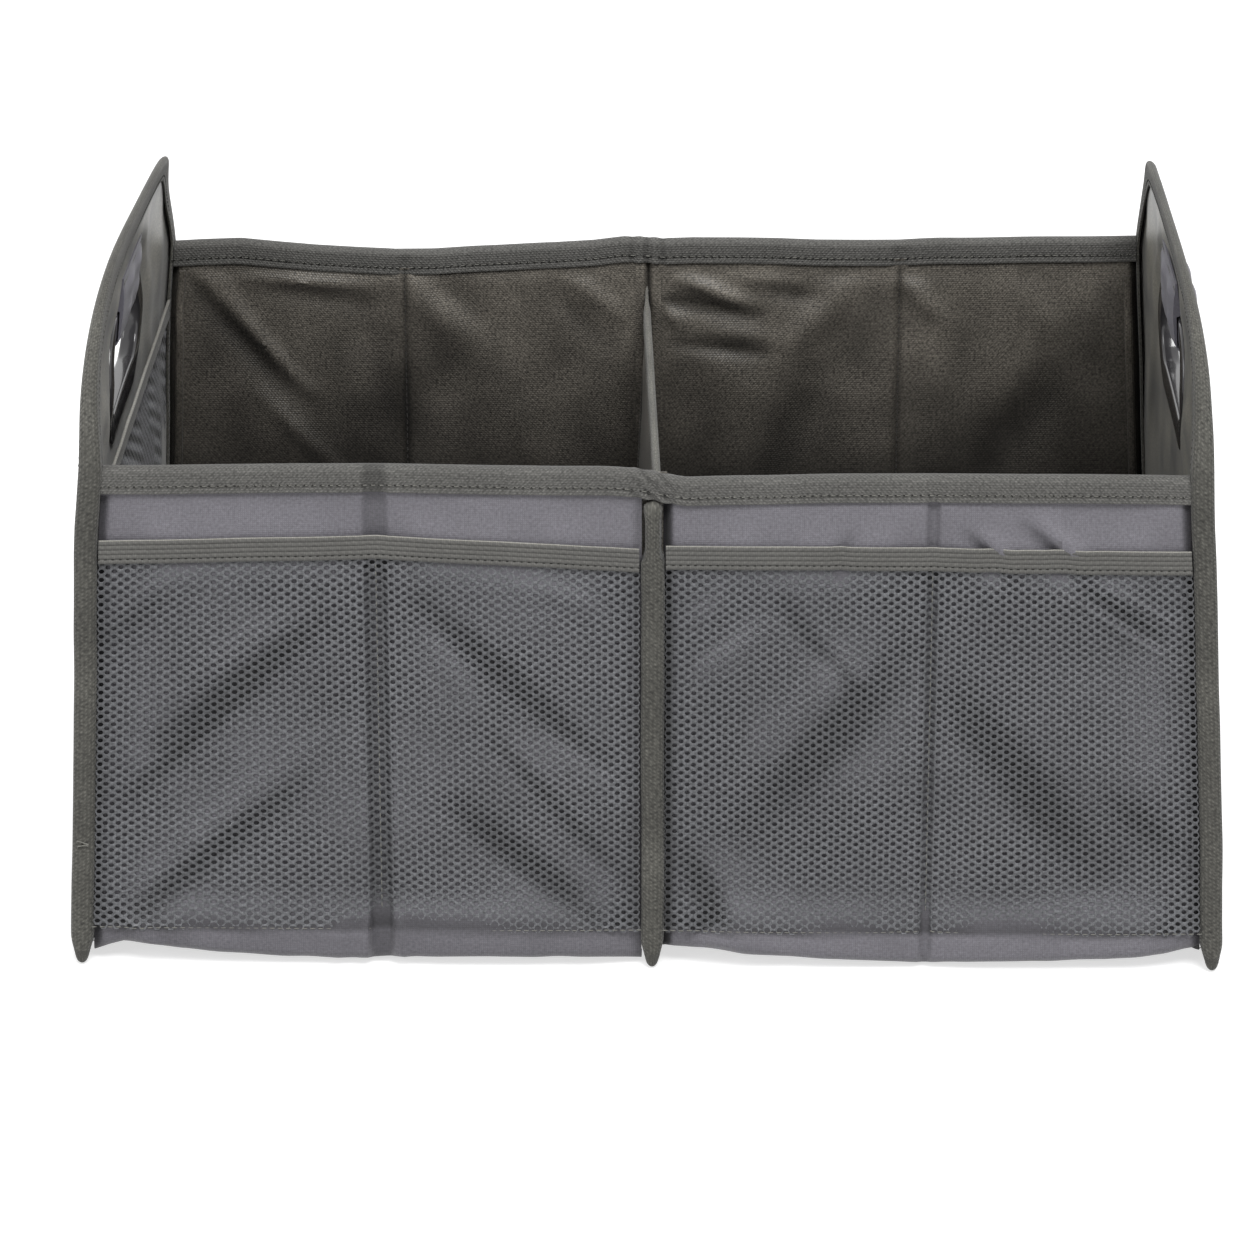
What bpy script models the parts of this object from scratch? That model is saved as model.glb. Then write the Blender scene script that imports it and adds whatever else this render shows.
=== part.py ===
"""A folding boot basket with two bays, in metres, +Z up, +Y away from its front.

Three stiff uprights, an arched panel at each end and a divider between them, carry a front wall and
a back wall. Each bay's walls are creased at the middle, so the end panel pushes in to the divider
while the walls fold into the bay. Every wall is a board between cloths, and tape binds its edge.
The origin is under the middle of the basket, on the surface that it stands on.
"""

import math

import bmesh
import bpy
from mathutils import Vector

# Overall sizes
OVERALL_WIDTH = 0.530
OVERALL_DEPTH = 0.370
RIM_HEIGHT = 0.253

# End panels: their arch above the rim, and how square its shoulders are
ARCH_RISE = 0.072
ARCH_SHOULDER = 3.4

# Divider: how far its top lies under the rim, and how steeply it climbs at both walls
DIVIDER_DROP = 0.029
DIVIDER_CLIMB = 24

# Thicknesses
UPRIGHT_BOARD = 0.0045
WALL_BOARD = 0.0030
CLOTH = 0.0014
TAPE = 0.0012
FLOOR_CLOTH = 0.0020

# Tape: how far it reaches over a face, and its rounding at the edge
TAPE_REACH = 0.0125
TAPE_ROUNDING = 0.0015
UPRIGHT_CORNER = 0.0050

# Clearances
GAP = 0.0003
WALL_END_GAP = 0.0008
CREASE_GAP = 0.0006
RIM_MEETING_GAP = 0.0006
FOLD_ROOM = 0.0005
HINGE_EASE = 0.0040
WALL_RECESS = 0.0050
FLOOR_LIFT = 0.0045
COVER_ROUNDING = 0.0012

# Pockets on the front walls
BAND_DROP = 0.0370
BAND_HEIGHT = 0.0115
BAND_THICKNESS = 0.0028
BAND_RIBS = 4
BAND_GROOVE = 0.0007
NET_THICKNESS = 0.0014
NET_BOTTOM = 0.0190
NET_MARGIN = 0.0030
NET_SELVEDGE = 0.0050
NET_PITCH_ACROSS = 0.0280
NET_PITCH_UP = 0.0360
NET_CORD = 0.0050

# Pocket inside the left end panel
POCKET_UNDER_RING = 0.0010
INNER_BAND_HEIGHT = 0.0100
INNER_POCKET_MARGIN = 0.0040
INNER_NET_PITCH = 0.0400

# Hand hole in each end panel, its moulded ring and the padded sleeve over the ring
HOLE_LENGTH = 0.118
HOLE_HEIGHT = 0.030
HOLE_MIDDLE_DROP = 0.0050
RING_WALL = 0.0030
RING_FLANGE = 0.0120
RING_PROUD = 0.0030
RING_ROUNDING = 0.0010
SLEEVE_LENGTH = 0.080
SLEEVE_TOP = 0.0480
SLEEVE_THICKNESS = 0.0018

# Points to a quarter turn on small corners, and along half of an arch
CORNER_STEPS = 3
ARCH_STEPS = 12
ROUND_STEPS = 5

# Derived sizes that several pieces share
TAPE_ROOM = TAPE + GAP
UPRIGHT_BODY = UPRIGHT_BOARD + 2 * (CLOTH + GAP)
UPRIGHT_BOUND = UPRIGHT_BODY + 2 * TAPE_ROOM
WALL_BODY = WALL_BOARD + 2 * (CLOTH + GAP)
END_MIDDLE = OVERALL_WIDTH / 2 - UPRIGHT_BOUND / 2
BAY_START = UPRIGHT_BODY / 2
BAY_END = END_MIDDLE - UPRIGHT_BODY / 2
WALL_OUTER = OVERALL_DEPTH / 2 - WALL_RECESS
WALL_INNER = WALL_OUTER - WALL_BODY
WALL_START = UPRIGHT_BOUND / 2 + WALL_END_GAP
WALL_END = END_MIDDLE - UPRIGHT_BOUND / 2 - WALL_END_GAP
CREASE = (BAY_START + BAY_END) / 2
FLOOR_TOP = FLOOR_LIFT + FLOOR_CLOTH
WALL_FOOT = FLOOR_TOP + GAP
WALL_TOP = RIM_HEIGHT - TAPE_ROOM
BAND_TOP = RIM_HEIGHT - BAND_DROP
HOLE_MIDDLE = RIM_HEIGHT - HOLE_MIDDLE_DROP
HOLE_TOP = HOLE_MIDDLE + HOLE_HEIGHT / 2
RING_REACH = RING_WALL + GAP + RING_FLANGE
INNER_BAND_TOP = HOLE_MIDDLE - HOLE_HEIGHT / 2 - RING_REACH - POCKET_UNDER_RING
POCKET_ROOM = GAP + max(BAND_THICKNESS, NET_THICKNESS)

# Turns that lay a drawn outline's plane on YZ, with its thickness along X, and on XZ
ON_YZ = (math.radians(90), 0.0, math.radians(90))
ON_XZ = (math.radians(90), 0.0, 0.0)

SIDES = {"left": -1, "right": 1}
WALLS = {"front": -1, "back": 1}


def start_scene():
    """Empties the scene and returns the basket's own collection."""
    for leftover in list(bpy.data.objects):
        bpy.data.objects.remove(leftover, do_unlink=True)
    collection = bpy.data.collections.new("folding_basket")
    bpy.context.scene.collection.children.link(collection)
    return collection


def colour(hex_text):
    """An sRGB hex colour as linear red, green, blue and alpha."""
    parts = [int(hex_text[place : place + 2], 16) / 255 for place in (0, 2, 4)]
    linear = [c / 12.92 if c <= 0.04045 else ((c + 0.055) / 1.055) ** 2.4 for c in parts]
    return (*linear, 1.0)


def finish(name, hex_text, roughness, metallic=0.0):
    """A Principled material."""
    made = bpy.data.materials.new(name)
    made.use_nodes = True
    shader = made.node_tree.nodes["Principled BSDF"]
    shader.inputs["Base Color"].default_value = colour(hex_text)
    shader.inputs["Roughness"].default_value = roughness
    shader.inputs["Metallic"].default_value = metallic
    return made


def hinge_lines(side):
    """Where a bay's hinges stand, by the body that turns there: (x, y)."""
    inner = SIDES[side] * (BAY_START + HINGE_EASE)
    outer = SIDES[side] * (BAY_END - HINGE_EASE)
    crease = SIDES[side] * CREASE
    crease_y = WALL_OUTER + POCKET_ROOM + FOLD_ROOM
    lines = {}
    for wall, facing in WALLS.items():
        lines[f"{side}_{wall}_inner"] = (inner, facing * WALL_INNER)
        lines[f"{side}_{wall}_outer"] = (crease, facing * crease_y)
    lines[f"{side}_end"] = (outer, WALLS["front"] * WALL_INNER)
    return lines


class Basket:
    """The basket's collection, its hinge empties and its finishes."""

    def __init__(self):
        self.collection = start_scene()
        self.finishes = {
            "cover": finish("outer_polyester", "7b7a83", 0.85),
            "lining": finish("lining_polyester", "47433f", 0.80),
            "end_lining": finish("end_lining_polyester", "6b6a63", 0.70),
            "tape": finish("ribbed_tape", "6b6b66", 0.90),
            "band": finish("elastic_band", "66686a", 0.80),
            "net": finish("knitted_net", "6a6c70", 0.85),
            "board": finish("stiffener_board", "b9b4a6", 0.75),
            "ring": finish("moulded_ring", "3c3b3c", 0.30),
            "sleeve": finish("padded_sleeve", "7c7a82", 0.80),
            "floor": finish("floor_polyester", "55525a", 0.85),
        }
        self.anchors = {"divider": self.empty("divider_anchor", (0, 0, 0))}
        for side in SIDES:
            parents = {f"{side}_end": f"{side}_front_outer"}
            for wall in WALLS:
                parents[f"{side}_{wall}_inner"] = "divider"
                parents[f"{side}_{wall}_outer"] = f"{side}_{wall}_inner"
            lines = hinge_lines(side)
            for body in sorted(lines, key=lambda name: ("end" in name, "outer" in name)):
                x, y = lines[body]
                self.anchors[body] = self.empty(f"{body}_hinge", (x, y, 0), parents[body])

    def empty(self, name, place, parent=None):
        """An empty on a hinge line. Returns it with its place in the world."""
        made = bpy.data.objects.new(name, None)
        made.empty_display_size = 0.02
        self.collection.objects.link(made)
        made.location = place
        if parent:
            made.parent, start = self.anchors[parent]
            made.location = Vector(place) - start
        return made, Vector(place)

    def add(self, name, data, body, place, turn=(0, 0, 0), dress="board"):
        """An object of one sub-part, carried by its body's empty."""
        piece = bpy.data.objects.new(name, data)
        self.collection.objects.link(piece)
        piece.parent, start = self.anchors[body]
        piece.location = Vector(place) - start
        piece.rotation_euler = turn
        data.materials.append(self.finishes[dress])
        return piece

    def plate(self, name, loops, thickness, body, place, turn, dress):
        """A flat outline, its first loop, with the other loops as holes, in the given thickness."""
        drawn = bpy.data.curves.new(name, "CURVE")
        drawn.dimensions = "2D"
        drawn.fill_mode = "BOTH"
        drawn.extrude = thickness / 2
        for loop in loops:
            spline = drawn.splines.new("POLY")
            spline.points.add(len(loop) - 1)
            spline.use_cyclic_u = True
            for point, (across, up) in zip(spline.points, loop):
                point.co = (across, up, 0.0, 1.0)
        return self.add(name, drawn, body, place, turn, dress)

    def block(self, name, low, high, body, dress):
        """A plain board or sheet between two corners."""
        mesh = bpy.data.meshes.new(name)
        shape = bmesh.new()
        bmesh.ops.create_cube(shape, size=1.0)
        size = Vector(high) - Vector(low)
        bmesh.ops.scale(shape, vec=size, verts=shape.verts)
        shape.to_mesh(mesh)
        shape.free()
        return self.add(name, mesh, body, (Vector(low) + Vector(high)) / 2, dress=dress)


def arc(middle, radius, start, stop, steps=CORNER_STEPS):
    """Points along a round corner, its angles in degrees."""
    angles = [math.radians(start + (stop - start) * step / steps) for step in range(steps + 1)]
    return [(middle[0] + radius * math.cos(a), middle[1] + radius * math.sin(a)) for a in angles]


def foot_corners(inset):
    """The two round bottom corners of an upright's outline, taken in by the inset."""
    radius = max(UPRIGHT_CORNER - inset, GAP)
    edge = OVERALL_DEPTH / 2 - inset - radius
    left = arc((-edge, inset + radius), radius, 180, 270)
    right = arc((edge, inset + radius), radius, 270, 360)
    return left + right


def arch_point(share, inset):
    """A point on the arch, taken in by the inset. The share runs from -1 at the front to 1."""
    across = math.sin(share * math.pi / 2)
    up = math.sqrt(max(0.0, 1 - abs(across) ** ARCH_SHOULDER))
    half = OVERALL_DEPTH / 2
    slope = math.copysign(abs(across) ** (ARCH_SHOULDER - 1), across)
    normal = Vector((slope * ARCH_SHOULDER / half, 2 * up / ARCH_RISE)).normalized()
    return (across * half - inset * normal.x, RIM_HEIGHT + up * ARCH_RISE - inset * normal.y)


def end_outline(inset):
    """An end panel's outline in Y and Z, taken in by the inset."""
    shares = [1 - step / ARCH_STEPS for step in range(2 * ARCH_STEPS + 1)]
    return foot_corners(inset) + [arch_point(share, inset) for share in shares]


def divider_outline(inset):
    """The divider's outline in Y and Z: its top dips between two short posts at the walls."""
    post = RIM_HEIGHT - TAPE_REACH - GAP
    radius = max(UPRIGHT_CORNER - inset, GAP)
    edge = OVERALL_DEPTH / 2 - inset - radius
    dip = DIVIDER_DROP - TAPE_REACH - GAP
    level = post - inset
    top = []
    for step in range(1, 2 * ARCH_STEPS):
        across = math.cos(math.pi * step / (2 * ARCH_STEPS))
        top.append((edge * across, level - dip * (1 - abs(across) ** DIVIDER_CLIMB)))
    right = arc((edge, level - radius), radius, 0, 90)
    left = arc((-edge, level - radius), radius, 90, 180)
    return foot_corners(inset) + right + top + left


def hole_outline(outset):
    """The hand hole's outline in Y and Z, with straight sides and round ends, grown by the outset."""
    radius = HOLE_HEIGHT / 2 + outset
    straight = (HOLE_LENGTH - HOLE_HEIGHT) / 2
    steps = 2 * ROUND_STEPS
    right = arc((straight, HOLE_MIDDLE), radius, -90, 90, steps)
    left = arc((-straight, HOLE_MIDDLE), radius, 90, 270, steps)
    return right + left


def turned_section(outline, section):
    """A closed ring: a section of (inset, x) points carried round an outline of (y, z) points."""
    mesh = bpy.data.meshes.new("ring")
    shape = bmesh.new()
    rows = [[shape.verts.new((x, y, z)) for y, z in outline(inset)] for inset, x in section]
    for near, far in zip(rows, rows[1:] + rows[:1]):
        for place in range(len(near)):
            after = (place + 1) % len(near)
            shape.faces.new((near[place], near[after], far[after], far[place]))
    bmesh.ops.recalc_face_normals(shape, faces=shape.faces)
    shape.to_mesh(mesh)
    shape.free()
    return mesh


def binding_section():
    """The tape's section over an upright's edge, as (inset, x) points."""
    outside = UPRIGHT_BOUND / 2
    inside = outside - TAPE
    rounding = TAPE_ROUNDING
    outer = [(TAPE_REACH, outside), (rounding, outside), (0, outside - rounding)]
    outer += [(0, rounding - outside), (rounding, -outside), (TAPE_REACH, -outside)]
    return outer + [(TAPE_REACH, -inside), (TAPE, -inside), (TAPE, inside), (TAPE_REACH, inside)]


def ring_section():
    """The hand hole ring's section, as (outset, x) points: a wall in the hole and two flanges."""
    face = UPRIGHT_BODY / 2 + GAP
    crown = face + RING_PROUD
    rounding = RING_ROUNDING
    half = [(RING_WALL, face), (RING_REACH, face), (RING_REACH, crown - rounding)]
    half += [(RING_REACH - rounding, crown), (rounding, crown), (0, crown - rounding)]
    return half + [(outset, -x) for outset, x in reversed(half)]


def rim_section():
    """The rim tape's outline in Y and Z over a wall's top edge, its middle at Y 0."""
    outside = WALL_BODY / 2 + TAPE_ROOM
    inside = outside - TAPE
    top, foot = RIM_HEIGHT, RIM_HEIGHT - TAPE_REACH
    shoulder = top - TAPE_ROUNDING
    crown = outside - TAPE_ROUNDING
    outer = [(-outside, foot), (-outside, shoulder), (-crown, top), (crown, top)]
    outer += [(outside, shoulder), (outside, foot)]
    return outer + [(inside, foot), (inside, top - TAPE), (-inside, top - TAPE), (-inside, foot)]


def band_section(height, thickness):
    """A ribbed elastic band's outline in Y and Z, its back at Y 0 and its ribs towards -Y."""
    rib = height / BAND_RIBS
    outline = [(0, height), (0, 0)]
    for number in range(BAND_RIBS):
        low = number * rib
        outline += [(BAND_GROOVE - thickness, low), (-thickness, low + rib / 3)]
        outline += [(-thickness, low + 2 * rib / 3)]
    return outline + [(BAND_GROOVE - thickness, height)]


def net_loops(width, height, pitch_across, pitch_up):
    """A net's outline about its middle, with its staggered diamond gaps."""
    loops = [[(-width / 2, -height / 2), (width / 2, -height / 2), (width / 2, height / 2)]]
    loops[0].append((-width / 2, height / 2))
    clear_across = width / 2 - NET_SELVEDGE
    clear_up = height / 2 - NET_SELVEDGE
    half_across = (pitch_across - NET_CORD) / 2
    half_up = (pitch_up - NET_CORD) / 2
    rows = int(2 * (clear_up - half_up) / (pitch_up / 2))
    for row in range(rows + 1):
        up = (row - rows / 2) * pitch_up / 2
        columns = int(2 * (clear_across - half_across) / pitch_across)
        columns -= row % 2
        for column in range(columns + 1):
            across = (column - columns / 2) * pitch_across
            loops.append(
                [
                    (across - half_across, up),
                    (across, up - half_up),
                    (across + half_across, up),
                    (across, up + half_up),
                ]
            )
    return loops


def sleeve_section():
    """The sleeve's outline in X and Z: it folds under the ring's top bar and climbs both faces."""
    face = UPRIGHT_BODY / 2 + GAP
    flange = face + RING_PROUD + GAP
    flange_top = HOLE_TOP + RING_REACH + GAP
    top = RIM_HEIGHT + SLEEVE_TOP
    under = HOLE_TOP - GAP
    shoulder = flange_top + SLEEVE_THICKNESS
    bottom = under - SLEEVE_THICKNESS
    outer = [(face + SLEEVE_THICKNESS, top), (flange + SLEEVE_THICKNESS, shoulder)]
    outer += [(flange + SLEEVE_THICKNESS, under), (flange, bottom)]
    inner = [(flange, under), (flange, flange_top), (face, shoulder), (face, top)]
    mirrored = [(-x, z) for x, z in reversed(outer)]
    return outer + mirrored + [(-x, z) for x, z in reversed(inner)] + inner


def wall_cover(basket, name, low, high, body, facing):
    """A wall half's outer cloth: a face with returns round its sides and foot, open inside."""
    mesh = bpy.data.meshes.new(name)
    shape = bmesh.new()
    bmesh.ops.create_cube(shape, size=1.0)
    open_faces = [face for face in shape.faces if face.normal.z > 0.5]
    open_faces += [face for face in shape.faces if face.normal.y * facing < -0.5]
    bmesh.ops.delete(shape, geom=open_faces, context="FACES")
    bmesh.ops.scale(shape, vec=Vector(high) - Vector(low), verts=shape.verts)
    shape.to_mesh(mesh)
    shape.free()
    cover = basket.add(name, mesh, body, (Vector(low) + Vector(high)) / 2, dress="cover")
    rounding = cover.modifiers.new("soft_edges", "BEVEL")
    rounding.width = COVER_ROUNDING
    rounding.segments = 2
    shell = cover.modifiers.new("cloth", "SOLIDIFY")
    shell.thickness = CLOTH
    shell.offset = -1
    shell.use_even_offset = True
    return cover


def add_wall_half(basket, side, wall, half):
    """A board, its cover and lining, and the tape on its rim, for one half of a bay's wall."""
    sign, facing = SIDES[side], WALLS[wall]
    body = f"{side}_{wall}_{half}"
    near = WALL_START if half == "inner" else CREASE + CREASE_GAP / 2
    far = CREASE - CREASE_GAP / 2 if half == "inner" else WALL_END
    x_low, x_high = sorted((sign * near, sign * far))
    y_low, y_high = sorted((facing * WALL_OUTER, facing * WALL_INNER))
    low, high = (x_low, y_low, WALL_FOOT), (x_high, y_high, WALL_TOP)
    wall_cover(basket, f"{body}_cover", low, high, body, facing)
    skin = CLOTH + GAP
    board_low = (x_low + skin, y_low + skin, WALL_FOOT + skin)
    board_high = (x_high - skin, y_high - skin, WALL_TOP)
    basket.block(f"{body}_board", board_low, board_high, body, "board")
    lining_y = sorted((facing * WALL_INNER, facing * (WALL_INNER + CLOTH)))
    lining_low = (x_low + skin, lining_y[0], WALL_FOOT + skin)
    lining_high = (x_high - skin, lining_y[1], WALL_TOP)
    basket.block(f"{body}_lining", lining_low, lining_high, body, "lining")
    tape_near = RIM_MEETING_GAP / 2 if half == "inner" else near
    middle = sign * (tape_near + far) / 2
    place = (middle, facing * (WALL_OUTER + WALL_INNER) / 2, 0)
    length = far - tape_near
    basket.plate(f"{body}_rim_tape", [rim_section()], length, body, place, ON_YZ, "tape")


def add_front_pocket(basket, side, half):
    """The net and the elastic band on one half of a bay's front wall."""
    sign = SIDES[side]
    body = f"{side}_front_{half}"
    near = WALL_START + NET_MARGIN if half == "inner" else CREASE + CREASE_GAP / 2 + GAP
    far = CREASE - CREASE_GAP / 2 - GAP if half == "inner" else WALL_END - NET_MARGIN
    middle, width = sign * (near + far) / 2, far - near
    band_foot = BAND_TOP - BAND_HEIGHT
    face = WALLS["front"] * (WALL_OUTER + GAP)
    section = [band_section(BAND_HEIGHT, BAND_THICKNESS)]
    place = (middle, face, band_foot)
    basket.plate(f"{body}_pocket_band", section, width, body, place, ON_YZ, "band")
    net_top = band_foot - GAP
    loops = net_loops(width, net_top - NET_BOTTOM, NET_PITCH_ACROSS, NET_PITCH_UP)
    place = (middle, face - NET_THICKNESS / 2, (net_top + NET_BOTTOM) / 2)
    basket.plate(f"{body}_pocket_net", loops, NET_THICKNESS, body, place, ON_XZ, "net")


def add_upright(basket, name, body, middle, outline, holes, skins):
    """A board between two cloths, each at its place across the upright, and its edge binding."""
    loops = [outline(TAPE_ROOM), *holes]
    basket.plate(f"{name}_board", loops, UPRIGHT_BOARD, body, (middle, 0, 0), ON_YZ, "board")
    for skin, facing, dress in skins:
        place = middle + facing * (UPRIGHT_BODY - CLOTH) / 2
        basket.plate(f"{name}_{skin}", loops, CLOTH, body, (place, 0, 0), ON_YZ, dress)
    binding = turned_section(outline, binding_section())
    basket.add(f"{name}_binding", binding, body, (middle, 0, 0), dress="tape")


def add_end_panel(basket, side):
    """An arched end panel with its hand hole, the hole's moulded ring and the padded sleeve."""
    sign = SIDES[side]
    body = f"{side}_end"
    middle = sign * END_MIDDLE
    skins = [("cover", sign, "cover"), ("lining", -sign, "end_lining")]
    hole = hole_outline(RING_WALL + GAP)
    add_upright(basket, body, body, middle, end_outline, [hole], skins)
    ring = turned_section(hole_outline, ring_section())
    basket.add(f"{body}_grip_ring", ring, body, (middle, 0, 0), dress="ring")
    loops, place = [sleeve_section()], (middle, 0, 0)
    basket.plate(f"{body}_grip_sleeve", loops, SLEEVE_LENGTH, body, place, ON_XZ, "sleeve")


def add_inner_pocket(basket):
    """The net pocket and its band on the inside of the left end panel."""
    body = "left_end"
    width = 2 * (WALL_INNER - INNER_POCKET_MARGIN)
    face = -(BAY_END - GAP)
    band_foot = INNER_BAND_TOP - INNER_BAND_HEIGHT
    section = [band_section(INNER_BAND_HEIGHT, BAND_THICKNESS)]
    turn = (math.radians(90), 0.0, math.radians(180))
    place = (face, 0, band_foot)
    basket.plate("left_end_pocket_band", section, width, body, place, turn, "band")
    net_top = band_foot - GAP
    loops = net_loops(width, net_top - NET_BOTTOM, INNER_NET_PITCH, INNER_NET_PITCH)
    place = (face + NET_THICKNESS / 2, 0, (net_top + NET_BOTTOM) / 2)
    basket.plate("left_end_pocket_net", loops, NET_THICKNESS, body, place, ON_YZ, "net")


def add_floor(basket, side):
    """A bay's soft floor, which hangs from the uprights under the walls."""
    near = UPRIGHT_BOUND / 2 + GAP
    far = END_MIDDLE - UPRIGHT_BOUND / 2 - GAP
    x_low, x_high = sorted((SIDES[side] * near, SIDES[side] * far))
    low, high = (x_low, -WALL_OUTER, FLOOR_LIFT), (x_high, WALL_OUTER, FLOOR_TOP)
    basket.block(f"{side}_floor", low, high, "divider", "floor")


def build():
    """Models the whole basket, opened out."""
    basket = Basket()
    skins = [("left_cover", -1, "lining"), ("right_cover", 1, "lining")]
    add_upright(basket, "divider", "divider", 0.0, divider_outline, [], skins)
    for side in SIDES:
        add_end_panel(basket, side)
        add_floor(basket, side)
        for wall in WALLS:
            for half in ("inner", "outer"):
                add_wall_half(basket, side, wall, half)
        for half in ("inner", "outer"):
            add_front_pocket(basket, side, half)
    add_inner_pocket(basket)


build()
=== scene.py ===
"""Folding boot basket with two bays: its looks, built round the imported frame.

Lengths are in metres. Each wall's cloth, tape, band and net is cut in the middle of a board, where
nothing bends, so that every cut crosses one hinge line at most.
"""

import logging
import math
from collections.abc import Callable, Sequence
from dataclasses import dataclass, replace
from enum import Enum
from functools import partial

import bmesh
import bpy
import numpy as np
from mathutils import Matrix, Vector
from mathutils.geometry import delaunay_2d_cdt


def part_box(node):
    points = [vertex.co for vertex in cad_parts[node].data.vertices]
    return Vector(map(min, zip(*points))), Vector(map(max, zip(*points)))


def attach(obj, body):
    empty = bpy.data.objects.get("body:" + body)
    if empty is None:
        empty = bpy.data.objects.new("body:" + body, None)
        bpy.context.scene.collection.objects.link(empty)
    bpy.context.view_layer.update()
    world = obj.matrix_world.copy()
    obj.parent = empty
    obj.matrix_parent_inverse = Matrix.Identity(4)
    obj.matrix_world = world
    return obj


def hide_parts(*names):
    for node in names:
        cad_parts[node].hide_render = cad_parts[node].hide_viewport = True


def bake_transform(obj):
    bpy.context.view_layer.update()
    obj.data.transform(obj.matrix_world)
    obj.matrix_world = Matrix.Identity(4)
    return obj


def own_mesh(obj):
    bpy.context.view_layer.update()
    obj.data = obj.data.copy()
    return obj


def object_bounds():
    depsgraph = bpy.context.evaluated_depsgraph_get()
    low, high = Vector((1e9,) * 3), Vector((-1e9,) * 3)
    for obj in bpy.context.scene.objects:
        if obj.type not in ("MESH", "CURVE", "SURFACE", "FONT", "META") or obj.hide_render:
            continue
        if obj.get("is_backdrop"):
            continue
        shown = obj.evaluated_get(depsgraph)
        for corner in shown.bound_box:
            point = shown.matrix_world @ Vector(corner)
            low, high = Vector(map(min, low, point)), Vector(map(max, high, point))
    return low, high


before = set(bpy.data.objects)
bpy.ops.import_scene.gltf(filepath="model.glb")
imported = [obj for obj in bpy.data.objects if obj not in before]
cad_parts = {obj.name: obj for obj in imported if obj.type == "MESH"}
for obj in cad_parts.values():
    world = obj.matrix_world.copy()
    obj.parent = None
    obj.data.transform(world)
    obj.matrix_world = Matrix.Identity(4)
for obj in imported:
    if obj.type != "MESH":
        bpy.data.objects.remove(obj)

LOG = logging.getLogger("basket")
Array = np.ndarray
Tree = bpy.types.NodeTree


class Side(Enum):
    """The two bays, with the sign of their X."""

    LEFT = -1
    RIGHT = 1

    @property
    def word(self) -> str:
        """The bay's word in the names of nodes and bodies."""
        return self.name.lower()


class Face(Enum):
    """The two long walls of a bay, with the sign of their Y."""

    FRONT = -1
    BACK = 1

    @property
    def word(self) -> str:
        """The wall's word in the names of nodes and bodies."""
        return self.name.lower()


class Weave(Enum):
    """How a cloth's threads cross: its warp's and its weft's bands, each with its share of the scale."""

    PLAIN = (("X", 1.0), ("Y", 1.0))
    TWILL = (("DIAGONAL", 1.0), ("Y", 0.8))
    RIBBED = (("X", 1.0), ("DIAGONAL", 0.6))


@dataclass(frozen=True)
class Sizes:
    """The basket's own sizes, as the frame has them."""

    half_depth: float = 0.185
    rim: float = 0.253
    arch_rise: float = 0.076
    arch_shoulder: float = 3.2
    arch_power: float = 0.6
    bound: float = 0.0109
    body: float = 0.0079
    end_middle: float = 0.25955
    wall_outer: float = 0.180
    wall_inner: float = 0.1736
    crease: float = 0.129775
    tape_reach: float = 0.0125
    tape: float = 0.0012
    cloth: float = 0.0009
    board: float = 0.0020
    upright_corner: float = 0.0050
    divider_top: float = 0.2240
    divider_post: float = 0.2385
    hole_length: float = 0.120
    hole_height: float = 0.036
    hole_middle: float = 0.2510
    floor_top: float = 0.0062


S = Sizes()


# Plain mathematics of cloth


def table_at(table: Sequence[tuple[float, float]], places: Array | float) -> Array:
    """A table in millimetres, read at places in metres."""
    return np.interp(places, *(np.array(row) / 1000 for row in zip(*table)))


def ease(share: Array | float) -> Array:
    """A smooth step from 0 to 1 over a share of 0 to 1."""
    share = np.clip(share, 0.0, 1.0)
    return share * share * (3 - 2 * share)


@dataclass(frozen=True)
class Slack:
    """Seeded soft noise over a plane, for the slack of a cloth."""

    seed: int
    cell: float

    def at(self, u: Array, v: Array) -> Array:
        """The noise, from -1 to 1, at places on the plane."""
        lattice = np.random.default_rng(self.seed).uniform(-1, 1, (64, 64))
        a, b = np.asarray(u) / self.cell + 20.3, np.asarray(v) / self.cell + 20.7
        i, j = np.floor(a).astype(int), np.floor(b).astype(int)
        p, q = ease(a - i), ease(b - j)
        near = lattice[i % 64, j % 64] * (1 - p) + lattice[(i + 1) % 64, j % 64] * p
        far = lattice[i % 64, (j + 1) % 64] * (1 - p) + lattice[(i + 1) % 64, (j + 1) % 64] * p
        return near * (1 - q) + far * q


@dataclass(frozen=True)
class Fold:
    """One crease or soft ridge across a cloth, which fades towards both of its ends.

    Its points and width are in millimetres, along the wall from the divider and up from the floor.
    A height under nothing is a valley.
    """

    start_along: float
    start_up: float
    end_along: float
    end_up: float
    width: float
    height: float

    def at(self, u: Array, v: Array) -> Array:
        """How far the cloth is lifted by this fold, in metres."""
        ax, ay, bx, by = (mm / 1000 for mm in (self.start_along, self.start_up, self.end_along, self.end_up))
        dx, dy = bx - ax, by - ay
        along = ((u - ax) * dx + (v - ay) * dy) / (dx * dx + dy * dy)
        held = np.clip(along, 0.0, 1.0)
        away = np.hypot(u - (ax + held * dx), v - (ay + held * dy))
        fade = 0.35 + 0.65 * np.sin(math.pi * np.clip(held, 0.02, 0.98))
        return self.height / 1000 * fade * np.exp(-((away / (self.width / 1000)) ** 2))


def folds(*rows: tuple[float, ...]) -> tuple[Fold, ...]:
    """Folds from rows of their start, end, width and height."""
    return tuple(Fold(*row) for row in rows)


def folds_at(folds: Sequence[Fold], u: Array, v: Array) -> Array:
    """The sum of several folds at places on the cloth."""
    lift = np.zeros(np.broadcast(u, v).shape)
    for fold in folds:
        lift = lift + fold.at(u, v)
    return lift


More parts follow.
